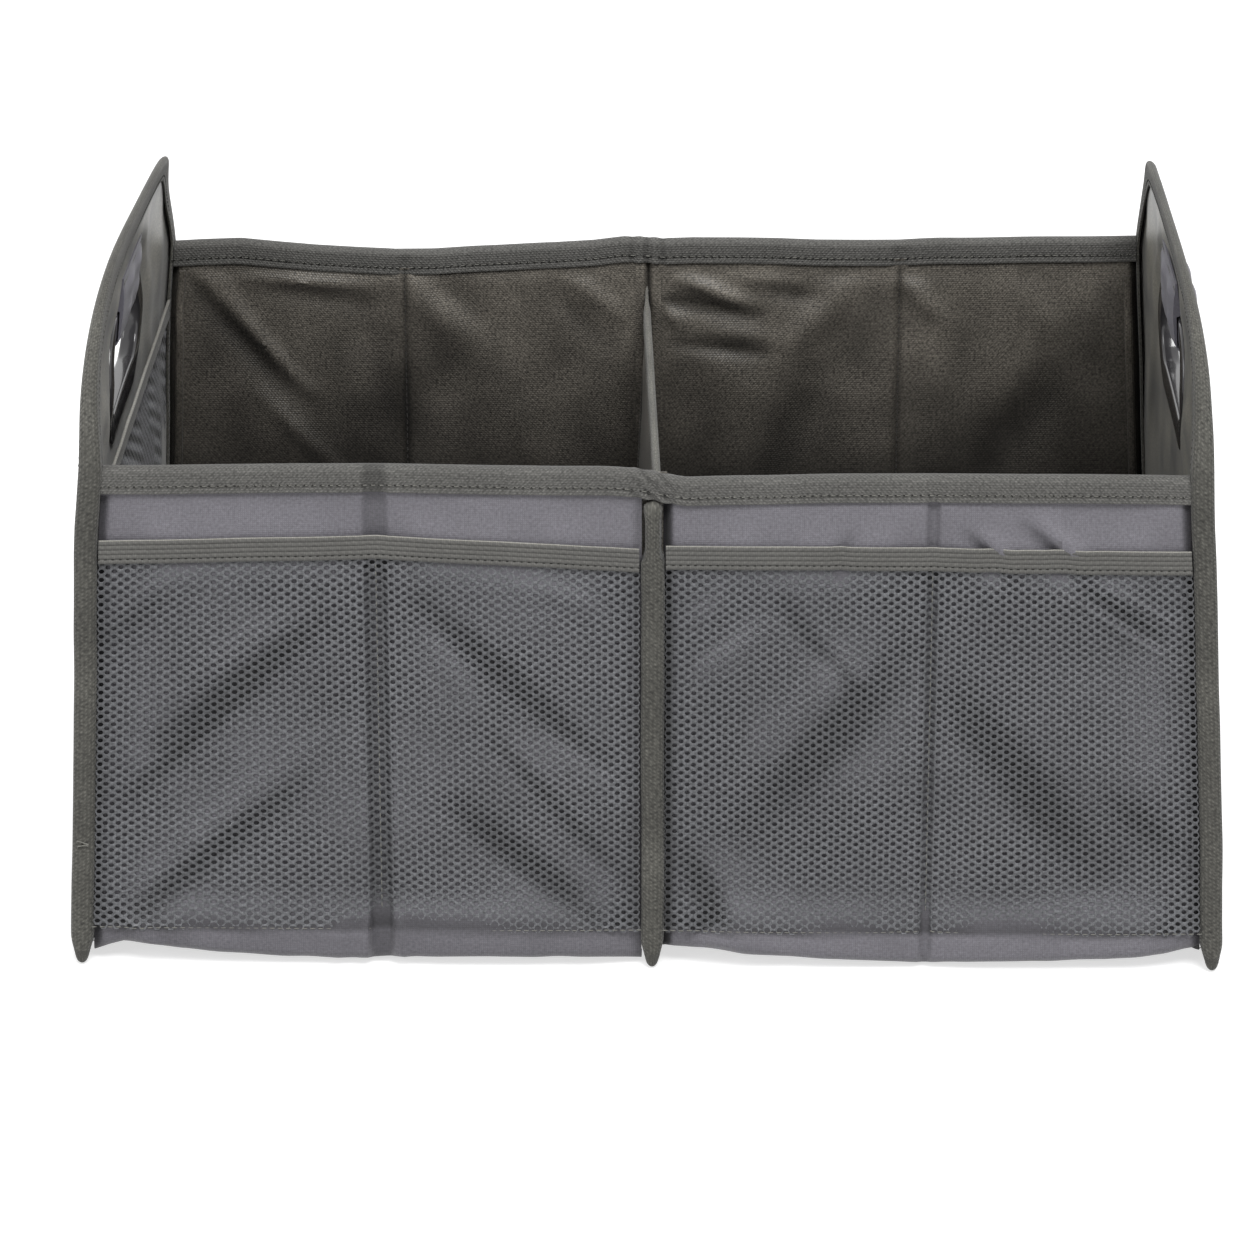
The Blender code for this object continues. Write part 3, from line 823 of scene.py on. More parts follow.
@dataclass(frozen=True)
class Mesh6:
    """A knitted net of offset holes: its cells are six-sided, and its threads are lens-shaped.

    The pitch is from one column of cells to the next, which lies half a row higher.
    """

    pitch: float = 0.002945
    rows_apart: float = 0.0041
    hole: float = 0.68
    thread: float = 0.00075

    def tree(self) -> Tree:
        """Makes one cell from a six-sided outline and a round hole, and repeats it in offset rows."""
        found = bpy.data.node_groups.get("knitted_net")
        if found:
            return found
        number, whole = "NodeSocketFloat", "NodeSocketInt"
        tree, start, end = empty_tree(
            "knitted_net",
            [("Columns", whole, 10), ("Rows", whole, 10), ("Pitch", number, 0.006), ("Rows apart", number, 0.004),
             ("Hole", number, 0.6), ("Thread", number, 0.001), ("Material", "NodeSocketMaterial", None)],
        )
        add, size = partial(add_node, tree), start.outputs
        circle = add("GeometryNodeMeshCircle", {"Vertices": 12, "Radius": 0.57735}, fill_type="NGON")
        # Every other point is drawn in to the middle of a side of the hexagon.
        number_of = add("GeometryNodeInputIndex")
        side = add("ShaderNodeMath", {0: number_of, 1: 2.0}, operation="MODULO")
        place = add("GeometryNodeInputPosition")
        drawn = add("ShaderNodeVectorMath", {0: place, "Scale": math.sqrt(0.75)}, operation="SCALE")
        hexagon = add("GeometryNodeSetPosition", {"Geometry": circle, "Selection": side, "Position": drawn})
        raised = add("GeometryNodeExtrudeMesh", {"Mesh": hexagon, "Offset Scale": 0.0}, mode="FACES")
        direction = add("ShaderNodeVectorMath", {0: place}, operation="NORMALIZE")
        # The hole is between a circle and a hexagon.
        radius = add("ShaderNodeMath", {0: size["Hole"], 1: 0.26}, operation="MULTIPLY")
        angular = add("ShaderNodeMath", {0: size["Hole"], 1: 0.48}, operation="MULTIPLY")
        round_part = add("ShaderNodeVectorMath", {0: direction, "Scale": radius}, operation="SCALE")
        flat_part = add("ShaderNodeVectorMath", {0: place, "Scale": angular}, operation="SCALE")
        ring = add("ShaderNodeVectorMath", {0: round_part, 1: flat_part}, operation="ADD")
        # The net is stretched sideways, so its holes are wider than they are high.
        ring = add("ShaderNodeVectorMath", {0: ring, 1: (1.04, 0.74, 1.0)}, operation="MULTIPLY")
        top = {"Selection": raised.outputs["Top"]}
        holed = add("GeometryNodeSetPosition", {"Geometry": raised.outputs["Mesh"], "Position": ring, **top})
        opened = add("GeometryNodeDeleteGeometry", {"Geometry": holed, **top}, domain="FACE")
        # The cell's edge stands half a thread high, and the hole's edge lies at the net's middle.
        reach = add("ShaderNodeVectorMath", {0: place}, operation="LENGTH").outputs["Value"]
        outer = add("FunctionNodeCompare", {0: reach, 1: 0.45}, data_type="FLOAT", operation="GREATER_THAN")
        # The threads' knots, at the hexagon's corners, stand higher than the threads between them.
        shares = {"From Min": 0.5, "From Max": 0.577, "To Min": 0.42, "To Max": 0.72}
        knot = add("ShaderNodeMapRange", {"Value": reach, **shares})
        half = add("ShaderNodeMath", {0: size["Thread"], 1: knot}, operation="MULTIPLY")
        up = add("ShaderNodeCombineXYZ", {"Z": half})
        front = add("GeometryNodeSetPosition", {"Geometry": opened, "Selection": outer, "Offset": up})
        mirrored = add("GeometryNodeTransform", {"Geometry": front, "Scale": (1, 1, -1)})
        back = add("GeometryNodeFlipFaces", {"Mesh": mirrored})
        both = tree.nodes.new("GeometryNodeJoinGeometry")
        tree.links.new(front.outputs[0], both.inputs[0])
        tree.links.new(back.outputs[0], both.inputs[0])
        # A regular cell is 1 high and its columns are 0.866 apart.
        wide = add("ShaderNodeMath", {0: size["Pitch"], 1: math.sqrt(0.75)}, operation="DIVIDE")
        cell_size = add("ShaderNodeCombineXYZ", {"X": wide, "Y": size["Rows apart"], "Z": 1.0})
        cell = add("GeometryNodeTransform", {"Geometry": both, "Scale": cell_size})
        counts = {"Vertices X": size["Columns"], "Vertices Y": size["Rows"]}
        grid = add("GeometryNodeMeshGrid", {"Size X": 0.0, "Size Y": 0.0, **counts})
        index = add("GeometryNodeInputIndex")
        column = add("ShaderNodeMath", {0: index, 1: size["Rows"]}, operation="DIVIDE")
        column = add("ShaderNodeMath", {0: column}, operation="FLOOR")
        row = add("ShaderNodeMath", {0: index, 1: size["Rows"]}, operation="MODULO")
        odd = add("ShaderNodeMath", {0: column, 1: 2.0}, operation="MODULO")
        shift = add("ShaderNodeMath", {0: odd, 1: 0.5, 2: row}, operation="MULTIPLY_ADD")
        along = add("ShaderNodeMath", {0: column, 1: size["Pitch"]}, operation="MULTIPLY")
        above = add("ShaderNodeMath", {0: shift, 1: size["Rows apart"]}, operation="MULTIPLY")
        spot = add("ShaderNodeCombineXYZ", {"X": along, "Y": above})
        spread = add("GeometryNodeSetPosition", {"Geometry": grid, "Position": spot})
        placed = add("GeometryNodeInstanceOnPoints", {"Points": spread, "Instance": cell})
        real = add("GeometryNodeRealizeInstances", {"Geometry": placed})
        welded = add("GeometryNodeMergeByDistance", {"Geometry": real, "Distance": 0.00002})
        dressed = add("GeometryNodeSetMaterial", {"Geometry": welded, "Material": size["Material"]})
        tree.links.new(dressed.outputs[0], end.inputs["Geometry"])
        return tree

    def knit(
        self, name: str, columns: int, rows: int, corner: tuple[float, float],
        lay: Callable[[Array, Array, Array], Array], finish: Finish, shade: Callable[[Array, Array], Array],
    ) -> bpy.types.Object:
        """Knits a net and lays it on a surface.

        Args:
            name: The piece's name.
            columns: Cells across.
            rows: Cells up.
            corner: The middle of the first cell, across and up.
            lay: Takes places across, up and out of the net to points in space.
            finish: The net's thread.
            shade: Painted shade on the net, from 0 to 1, and painted highlight below 0, at places across and up.

        Returns:
            The net.
        """
        seed = bpy.data.meshes.new(name + "_seed")
        sizes = {"Columns": columns, "Rows": rows, "Pitch": self.pitch, "Rows apart": self.rows_apart,
                 "Hole": self.hole, "Thread": self.thread, "Material": finish.material()}
        flat = run_tree(self.tree(), seed, sizes)
        points = np.zeros(len(flat.vertices) * 3)
        flat.vertices.foreach_get("co", points)
        points = points.reshape(-1, 3)
        faces = [tuple(face.vertices) for face in flat.polygons]
        edges = dict.fromkeys((a, b) for face in faces for a, b in zip(face, face[1:] + face[:1]))
        key = {(round(x * 1e5), round(y * 1e5), z > 0): k for k, (x, y, z) in enumerate(points)}
        for a, b in [edge for edge in edges if (edge[1], edge[0]) not in edges]:
            if points[a][2] > 1e-6:
                below = [key.get((round(points[k][0] * 1e5), round(points[k][1] * 1e5), False)) for k in (a, b)]
                if None not in below:
                    faces.append((b, a, below[0], below[1]))
        across, up = points[:, 0] + corner[0], points[:, 1] + corner[1]
        laid = lay(across, up, points[:, 2])
        bpy.data.meshes.remove(flat)
        return make_piece(
            name, laid, faces, finish, np.stack([across, up], axis=1), angle=75, painted_shading=shade(across, up)
        )


STITCH = Seam()


def sew_row(start: str, end: str, rows: Sequence[Array], hold: Hold) -> None:
    """Sews rows of stitches with black dots of painted shade for the needle's holes between them.

    Args:
        start: The first words of the pieces' names.
        end: Their last words.
        rows: Each row's points.
        hold: What the rows move with.
    """
    hold.sew(f"{start}_stitches{end}", STITCH, rows, THREAD)
    later = []
    for row in rows:
        run = np.concatenate([[0], np.cumsum(np.linalg.norm(np.diff(row, axis=0), axis=1))])
        places = np.concatenate([[STITCH.pitch / 2], run[run > STITCH.pitch / 2]])
        later.append(np.stack([np.interp(places, run, row[:, k]) for k in range(3)], axis=1))
    # Dots of painted shade for the needle's holes.
    needle_shade = Seam(pitch=STITCH.pitch, length=0.0013, width=0.0012, height=0.0005)
    hold.sew(f"{start}_dents{end}", needle_shade, later, NEEDLE_HOLE_SHADE)


# Outlines and sections


def arc(y: float, z: float, radius: float, start: float, end: float, count: int) -> list[tuple[float, float]]:
    """Points of a round corner about (y, z), between two angles in degrees."""
    turns = np.radians(np.linspace(start, end, count))
    return [(y + radius * math.cos(a), z + radius * math.sin(a)) for a in turns]


def rounded_box(x_low: float, y_low: float, x_high: float, y_high: float, radius: float) -> Array:
    """A box's outline with round corners."""
    points = []
    for k, (x, y) in enumerate(((x_high, y_low), (x_high, y_high), (x_low, y_high), (x_low, y_low))):
        inward = (radius if x == x_low else -radius, radius if y == y_low else -radius)
        points += arc(x + inward[0], y + inward[1], radius, 90 * k - 90, 90 * k, 5)
    return np.array(points)


def folded_tape(shell: list[tuple[float, float]], centre: float, bent: float) -> Array:
    """A folded tape's closed section from its outer run.

    Args:
        shell: The outer run as (depth, across) points; the depth grows away from the fold.
        centre: The depth about which the fold is round.
        bent: The depth at which the fold goes over into the flanks.

    Returns:
        The outer run, and the way back inside of it by the tape's thickness.
    """
    inner = []
    for depth, across in reversed(shell):
        if depth < bent:
            way = np.array([depth - centre, across])
            inner.append(tuple(np.array([depth, across]) - way / np.linalg.norm(way) * S.tape))
        else:
            inner.append((depth, across - math.copysign(S.tape, across)))
    return np.array(shell + inner)


# Walls


@dataclass(frozen=True)
class Cut:
    """One cut of a wall's run: its word, and where it starts and ends along the wall."""

    word: str
    start: float
    end: float


WALL_START, WALL_END = 0.0050, 0.2542
WALL_CUTS = (Cut("inner", WALL_START, 0.0680), Cut("crease", 0.0680, 0.1915), Cut("outer", 0.1915, WALL_END))
NET_COLUMNS = (22, 40, 22)
DIVIDER_TURN, CREASE_TURN, END_TURN = (0.0060, 0.0100), (0.1262, 0.1334), (0.2496, 0.2534)
FINE_STEP, COARSE_STEP, FINE_REACH = 0.0008, 0.0027, 0.0080


def along_wall(start: float, end: float) -> Array:
    """Places along a wall, close together where it bends."""
    places = [start]
    while places[-1] < end - 1e-9:
        near = min(abs(places[-1] + FINE_STEP - line) for line in (0.0080, S.crease, 0.2516))
        step = FINE_STEP if near < FINE_REACH else COARSE_STEP
        places.append(places[-1] + step)
    places[-1] = end
    if len(places) > 2 and places[-1] - places[-2] < FINE_STEP / 2:
        places.pop(-2)
    return np.array(places)


@dataclass(frozen=True)
class WallLook:
    """How one wall of one bay looks: its folds, its rim's rises and how its crease is sewn.

    The rises, the feet and the band's tops are in millimetres at places in millimetres along the
    wall. The shifts are how far its ends at the divider and its crease stand towards the right.
    """

    outer_folds: tuple[Fold, ...] = ()
    lining_folds: tuple[Fold, ...] = ()
    rim_rises: tuple[tuple[float, float], ...] = ((0, 0), (254, 0))
    feet: tuple[tuple[float, float], ...] = ((0, 7), (40, 3), (220, 3), (254, 8))
    band_tops: tuple[tuple[float, float], ...] = ()
    shift: tuple[float, float] = (0.0, 0.0)
    channel: float = 0.0020
    channel_depth: float = 0.0022
    seed: int = 1


@dataclass(frozen=True)
class Wall:
    """One long wall of a bay: outer cloth, lining, rim tape, and the front's net pocket."""

    side: Side
    face: Face
    look: WallLook
    rounding: float = 0.0075
    gap_depth: float = 0.0055
    gap_width: float = 0.0050
    band_height: float = 0.0116
    band_ribs: int = 5
    net_bottom: float = 0.0195
    edge: tuple[float, float] = (0.0062, 0.2536)

    @property
    def word(self) -> str:
        """The wall's first words in the names of nodes and bodies."""
        return f"{self.side.word}_{self.face.word}"

    def point(self, along: Array, out: Array, z: Array) -> Array:
        """Points on the wall.

        Args:
            along: Distance from the basket's middle.
            out: Distance outwards of the wall's outer face.
            z: Height.

        Returns:
            The points, with the wall's end spread as the end panel leans.
        """
        along, out, z = np.broadcast_arrays(along, out, z)
        edge = self.face.value * S.half_depth
        spread = STANCES[self.side].at(edge, np.minimum(z, S.rim)) * ease((along - 0.140) / 0.112)
        near, crease = self.look.shift
        shift = np.interp(along, (0, S.crease, WALL_END), (near / 1000, crease / 1000, 0))
        x = self.side.value * (along + spread) + shift
        return np.stack([x, self.face.value * (S.wall_outer + out), z], axis=-1)

    def inset(self, along: Array) -> Array:
        """The distance from the wall's nearer end."""
        return np.minimum(along - WALL_START, WALL_END - along)

    def hold(self, cut: Cut) -> Hold:
        """The bodies that a cut moves with."""
        sign = self.side.value
        inner, outer = f"{self.word}_inner", f"{self.word}_outer"
        if cut.word == "inner":
            start = max(DIVIDER_TURN[0], WALL_START + sign * self.look.shift[0] / 1000 + 0.0003)
            return Hold(("divider", inner), (sign * start, sign * (start + DIVIDER_TURN[1] - DIVIDER_TURN[0])))
        if cut.word == "crease":
            return Hold((inner, outer), (sign * CREASE_TURN[0], sign * CREASE_TURN[1]))
        if self.face is Face.FRONT:
            return Hold((outer, f"{self.side.word}_end"), (sign * END_TURN[0], sign * END_TURN[1]))
        return Hold((outer,))

    def stands_for(self, cut: Cut, part: str) -> list[str]:
        """The CAD nodes that a cut of this part stands for."""
        halves = {"inner": ["inner"], "crease": ["inner", "outer"], "outer": ["outer"]}[cut.word]
        return [f"{self.word}_{half}_{part}" for half in halves]

    def rise(self, along: Array) -> Array:
        """How far the rim stands over its usual height."""
        return table_at(self.look.rim_rises, along)

    def crease_dip(self, along: Array) -> Array:
        """1 in the crease's channel, and 0 away from it."""
        return 1 - ease((np.abs(along - S.crease) - self.look.channel) / 0.0035)

    def pillow(self, along: Array, z: Array) -> Array:
        """How far the outer cloth stands out between its seams, its folds left out."""
        ends = ease((along - 0.007) / 0.030) * ease((0.2525 - along) / 0.030)
        middle = ease((np.abs(along - S.crease) - 0.001) / 0.028)
        held = ease((S.rim - 0.013 - z) / 0.030) * ease((z + 0.010) / 0.02)
        return (0.0004 + 0.0018 * ends * middle) * held

    def outer_lift(self, along: Array, z: Array) -> Array:
        """How far the outer cloth stands out, with its folds, its channel and its gaps."""
        slack = (
            Slack(self.look.seed, 0.045).at(along, z) * 0.0009
            + Slack(self.look.seed + 7, 0.017).at(along, z) * 0.0003
        )
        tame = ease((S.rim - 0.0125 - z) / 0.006) * (1 - self.crease_dip(along))
        near = self.inset(along)
        soft = ease(near / 0.016)
        folds = folds_at(self.look.outer_folds, along, z) * (1.5 + 0.9 * ease((z - 0.203) / 0.006))
        lift = np.maximum(self.pillow(along, z) + (slack + folds) * tame * soft, -0.0010)
        under_tape = ease((S.rim - 0.0110 - z) / 0.004)
        if self.face is Face.FRONT:
            lift = lift - self.gap_depth * self.gap_share(along) * (1 - ease(near / self.gap_width)) * under_tape
        return lift - self.look.channel_depth * self.crease_dip(along) * (0.25 + 0.75 * under_tape)

    def outer_painted_shading(self, along: Array, z: Array) -> Array:
        """The outer cloth's painted shade: in gaps beside the uprights, in valleys, under the net, at the crease.
        """
        folds = folds_at(self.look.outer_folds, along, z)
        # Painted shade in the folds' valleys.
        painted_shading = 0.30 * np.clip(-folds / 0.0011, 0, 1)
        if self.face is Face.FRONT:
            gap = (1 - ease((self.inset(along) - 0.0012) / self.gap_width)) * ease((S.rim - 0.0120 - z) / 0.003)
            # Painted shadow of the net, darker where the net stands further off the cloth.
            away = np.clip((self.net_out(along, z) - self.outer_lift(along, z) - 0.0009) / 0.0024, 0, 1)
            netted = ease((z - self.net_bottom + 0.002) / 0.003) * ease((self.band_top(along) - 0.004 - z) / 0.004)
            left = 0.20 * (self.side is Side.LEFT) * ease((0.0200 - z) / 0.003)
            inner = np.minimum((z - self.net_bottom) / 0.016, (self.band_top(along) - 0.0120 - z) / 0.012)
            painted_shading = painted_shading + (0.16 + 0.54 * away + 0.34 * (1 - ease(inner))) * netted
            painted_shading = painted_shading + gap * self.gap_share(along) ** 0.5 + left
        # Painted shade in the crease's channel.
        return np.clip(painted_shading + (0.36 if self.look.channel > 0.003 else 0.22) * self.crease_dip(along), 0, 0.97)

    def gap_share(self, along: Array) -> Array:
        """How open the gap beside an upright is: only the right wall's end at the post is wide open."""
        inner = 0.12 if self.side is Side.LEFT else 1.0
        return np.where(along < S.crease, inner, 0.45)

    def build_cover(self) -> None:
        """The outer cloth, from under the rim tape down, round the foot and in under the bay."""
        straight = np.concatenate([np.linspace(0, 0.12, 12), np.linspace(0.14, 0.90, 62), np.linspace(0.912, 1, 8)])
        turn = np.radians(np.linspace(0, 90, 9)[1:])
        for cut in WALL_CUTS:
            along = along_wall(cut.start, cut.end)[None, :]
            near = self.inset(along)
            ripple = Slack(self.look.seed + 3, 0.012).at(along, along * 0) * 0.0004
            foot = np.maximum(table_at(self.look.feet, along) + ripple, 0.0004)
            top = S.rim - 0.0016 + self.rise(along)
            r = self.rounding
            z = np.concatenate(
                [top - straight[:, None] * (top - foot - r), foot + r - r * np.sin(turn)[:, None], foot, foot]
            )
            out = np.concatenate([0 * straight, -r + r * np.cos(turn), [-r - 0.003, -r - 0.006]])[:, None]
            weight = np.concatenate([np.ones(len(straight)), np.cos(turn) ** 2, [0, 0]])[:, None]
            lift = self.outer_lift(along, np.maximum(z, 0.012)) * weight
            sag = 0.0030 * ease(near / 0.03) * ease((0.045 - z) / 0.03)
            grid = self.point(along + 0 * z, out + lift + sag * weight, z)
            name = f"{self.word}_cover_{cut.word}"
            painted_shading = self.outer_painted_shading(along + 0 * z, z)
            piece = cloth_sheet(name, grid, Vector((0, self.face.value, 0)), S.cloth, OUTER, painted_shading)
            self.hold(cut).take(piece, OUTER, self.stands_for(cut, "cover"))
            self.declare()

    def declare(self) -> None:
        """Does nothing with the cut of cloth."""
        f"{self.word}_board_inner"

    def lining_lift(self, along: Array, z: Array) -> Array:
        """How far the lining stands into the bay."""
        look = self.look
        slack = (
            Slack(look.seed + 11, 0.040).at(along, z) * 0.0008 + Slack(look.seed + 13, 0.014).at(along, z) * 0.0002
        )
        soft = ease(self.inset(along) / 0.012) * ease((S.rim - 0.0125 - z) / 0.008)
        seam = np.exp(-(((along - S.crease) / 0.0022) ** 2))
        corner = 1 - ease((WALL_END - along) / 0.0042)
        folds = folds_at(look.lining_folds, along, z) * 1.8
        lift = 0.0005 + (0.0006 + slack) * soft * (1 - seam) + folds * soft - 0.0012 * seam * soft - 0.0030 * corner
        floor = -0.0012 - 0.0018 * corner
        return floor + np.logaddexp(0, (lift - floor) / 0.0003) * 0.0003

    def build_lining(self) -> None:
        """The lining, from under the rim tape down to the floor."""
        share = np.linspace(0, 1, 96)[:, None]
        for cut in WALL_CUTS:
            along = along_wall(cut.start, cut.end)[None, :]
            top = S.rim - 0.0016 + self.rise(along)
            z = top - share * (top - 0.0090)
            grid = self.point(along + 0 * z, S.wall_inner - S.wall_outer - self.lining_lift(along, z), z)
            name = f"{self.word}_lining_{cut.word}"
            folds = folds_at(self.look.lining_folds, along, z)
            cloud = Slack(self.look.seed + 17, 0.030).at(along, z)
            # Painted shade in the folds' valleys, with random darker patches.
            valley = 0.55 * np.clip(-folds / 0.0008, 0, 1) + 0.26 * np.clip(0.3 + cloud, 0, 1)
            # Painted shade in the recess at the outer corner and along the crease's seam.
            dark = (
                0.9 * (1 - ease((WALL_END - along - 0.0008) / 0.0036))
                + 0.5 * np.exp(-(((along - S.crease) / 0.0016) ** 2))
            )
            piece = cloth_sheet(
                name, grid, Vector((0, -self.face.value, 0)), S.cloth, LINING, np.clip(valley + dark, 0, 0.95)
            )
            self.hold(cut).take(piece, LINING, self.stands_for(cut, "lining"))
            self.declare()

    def tape_section(self) -> Array:
        """The rim tape's section, as (out, up from the rim): down the outside, round the top, down the inside."""
        half = (S.wall_outer - S.wall_inner) / 2 + 0.0015
        outer = [(S.tape_reach, half + 0.0002), (0.0110, half + 0.0003), (0.0098, half - 0.00015)]
        outer += [(0.0086, half + 0.0002), (0.0060, half + 0.0001), (0.0035, half)]
        outer += [(0.0030 - 0.0030 * math.sin(a), half * math.cos(a)) for a in np.radians(np.linspace(10, 90, 6))]
        shell = outer + [(depth, -across) for depth, across in reversed(outer[:-1])]
        section = folded_tape(shell, 0.0030, 0.0031)
        return np.stack([section[:, 1] + (S.wall_inner - S.wall_outer) / 2, -section[:, 0]], axis=1)

    def build_rim_tape(self) -> None:
        """The folded tape over the rim, its stitches outside and inside, in three cuts."""
        section = self.tape_section()
        for cut in WALL_CUTS:
            start = 0.0 if cut.word == "inner" else cut.start
            along = along_wall(start, cut.end)
            wave = Slack(self.look.seed + 21, 0.030).at(along, along * 0) * 0.00035
            dent = self.crease_dip(along) * self.look.channel_depth * 0.45
            rings, pleat_shade = [], []
            for s, w, d, up in zip(along, wave, dent, self.rise(along)):
                # The two bays' tapes cross over the divider: aslant in front, in upright pleats behind.
                over_divider = 1 - ease((abs(s) - 0.006) / 0.008)
                slope, start = (1150, 5.0) if self.face is Face.FRONT else (0, 0.5)
                aslant = self.side.value * s * 1000 + section[:, 1] * slope + start
                out = section[:, 0] + w * 0.6 - np.sign(section[:, 0] + 0.0032) * d * ease((-section[:, 1]) / 0.006)
                out = out - 0.0007 * over_divider * np.cos(aslant * 0.75) * np.sign(section[:, 0] + 0.0032)
                # Painted shade in the pleats' creases over the divider.
                pleat_shade.append(0.42 * over_divider * np.cos(aslant * 0.375) ** 8)
                z = S.rim + section[:, 1] + up + w
                rings.append(self.point(s, out, z))
            # Painted shade in the dent over the deep crease.
            painted_shading = 0.42 * self.crease_dip(along) * (self.look.channel > 0.003)
            painted_shading = painted_shading[:, None] + np.array(pleat_shade)
            piece = swept(f"{self.word}_rim_tape_{cut.word}", np.array(rings), TAPE, painted_shading=painted_shading)
            self.hold(cut).take(piece, TAPE, self.stands_for(cut, "rim_tape"))
            rows = []
            for out in (0.00165, S.wall_inner - S.wall_outer - 0.00165):
                rows.append(self.point(along, out + wave * 0.6, S.rim - 0.0088 + self.rise(along) + wave))
            sew_row(f"{self.word}_rim", f"_{cut.word}", rows, self.hold(cut))

    def build_boards(self) -> None:
        """The stiff boards of both halves, with round corners, clear of the hinge lines."""
        for half, low, high in (("inner", 0.0135, S.crease - 0.0085), ("outer", S.crease + 0.0085, 0.2450)):
            corners = rounded_box(low, 0.0200, high, S.rim - 0.0085, 0.004)
            middle = (S.wall_inner - S.wall_outer) / 2
            count = len(corners)
            points = []
            for out in (middle - S.board / 2, middle + S.board / 2):
                points += self.point(corners[:, 0], out, corners[:, 1]).tolist()
            faces = [list(range(count)), list(range(2 * count - 1, count - 1, -1))]
            faces += [(k, (k + 1) % count, (k + 1) % count + count, k + count) for k in range(count)]
            piece = make_piece(f"{self.word}_board_{half}", np.array(points), faces, BOARD)
            Hold((f"{self.word}_{half}",)).take(piece, BOARD, [f"{self.word}_{half}_board"])

    # The front's pocket

    def band_top(self, along: Array) -> Array:
        """The height of the band's top edge."""
        return table_at(self.look.band_tops, along)

    def band_out(self, along: Array) -> Array:
        """How far the band's back stands out of the wall's face."""
        lift = self.outer_lift(along, self.band_top(along) - 0.006)
        return np.maximum(lift, 0.0) * 0.5 + 0.0010 + 0.0006 * (1 - self.crease_dip(along))

    def band_rings(self, along: Array, section: Array) -> Array:
        """A section, out of the band's back and up from its top edge, carried along the band."""
        ends = zip(along, self.band_out(along), self.band_top(along))
        return np.array([self.point(s, out + section[:, 0], top + section[:, 1]) for s, out, top in ends])

    def build_band(self) -> None:
        """The ribbed elastic band on the pocket's top edge, and dots of painted shade in its lowest groove."""
        height, ribs = self.band_height, self.band_ribs
        steps = 6 * ribs
        drop = np.linspace(0, height, steps + 1)
        bulge = 0.00060 * np.abs(np.sin(math.pi * drop / (height / ribs))) ** 0.7
        front = np.stack([0.0010 + bulge, -drop], axis=1)
        front[0] += (-0.0003, 0.0002)
        back = np.array([(0.0, -height), (0.0, -height * 0.5), (0.0, 0.0)])
        section = np.concatenate([front, back])
        for cut in WALL_CUTS:
            along = along_wall(max(cut.start, self.edge[0]), min(cut.end, self.edge[1]))
            rings = self.band_rings(along, section)
            piece = swept(f"{self.word}_band_{cut.word}", rings, ELASTIC, angle=60)
            self.hold(cut).take(piece, ELASTIC, self.stands_for(cut, "pocket_band"))
            turns = np.radians(np.arange(0, 360, 45))
            # The band's rolled top edge, painted light as a highlight.
            piping = np.stack([0.0010 + 0.00035 * np.cos(turns), 0.00035 * np.sin(turns)], axis=1)
            piece = swept(f"{self.word}_band_edge_{cut.word}", self.band_rings(along, piping), PIPING_HIGHLIGHT, angle=80)
            self.hold(cut).take(piece, PIPING_HIGHLIGHT)
            low = self.band_top(along) - height * (ribs - 1) / ribs
            row = self.point(along, self.band_out(along) + 0.0012, low)
            fine = Seam(pitch=0.0034, length=0.0015, width=0.0007, height=0.0005)
            self.hold(cut).sew(f"{self.word}_band_dents_{cut.word}", fine, [row], NEEDLE_HOLE_SHADE)

    def net_out(self, along: Array, z: Array) -> Array:
        """How far the net's middle stands out of the wall's face: on the folds, and off the valleys."""
        lift = self.outer_lift(along, z)
        plain = lift + (np.maximum(self.pillow(along, z), lift) - lift) * (1 - 0.8 * self.crease_dip(along))
        billow = 0.0004 + 0.0007 * Slack(self.look.seed + 31, 0.035).at(along, z)
        bridged = np.maximum(lift, plain) + 0.0007 + np.maximum(billow, 0) * (1 - self.crease_dip(along))
        low = 1 - ease((z - self.net_bottom) / 0.020)
        sides = 1 - ease((self.inset(along) - 0.004) / 0.016)
        bridged = bridged + (0.0011 * low + 0.0010 * sides) * (1 - self.crease_dip(along))
        top = 1 - ease((self.band_top(along) - self.band_height - z) / 0.016)
        behind = self.band_out(along) - 0.0004
        return bridged * (1 - top) + behind * top

    def build_net(self) -> None:
        """The pocket's net in three cuts that share their cells' edges, and the seams that hold it."""
        net = Mesh6()
        rows = 46
        up = self.net_bottom + net.rows_apart / 2

        def lay(across: Array, height: Array, thick: Array) -> Array:
            """Places of the net on the wall."""
            top = self.band_top(across) - self.band_height + 0.0020
            share = (height - self.net_bottom) / ((rows + 0.5) * net.rows_apart)
            z = self.net_bottom + share * (top - self.net_bottom)
            return self.point(across, self.net_out(across, z) + thick, z)

        def shade(across: Array, height: Array) -> Array:
            """Painted shade on the net: in the folds, at the crease and beside the uprights, in random patches."""
            folds = folds_at(self.look.outer_folds, across, height * 0.98)
            cloud = Slack(self.look.seed + 33, 0.028).at(across, height)
            dark = 0.36 * np.clip(-folds / 0.0011, 0, 1) + 0.14 * np.clip(0.35 + cloud, 0, 1)
            post = 0.45 * (self.side is Side.RIGHT) * (1 - ease((across - self.edge[0] - 0.0015) / 0.0035))
            ends = 1 - ease((self.inset(across) - 0.001) / 0.010)
            return np.clip(dark + 0.34 * self.crease_dip(across) + 0.34 * ends + post, 0, 0.9)

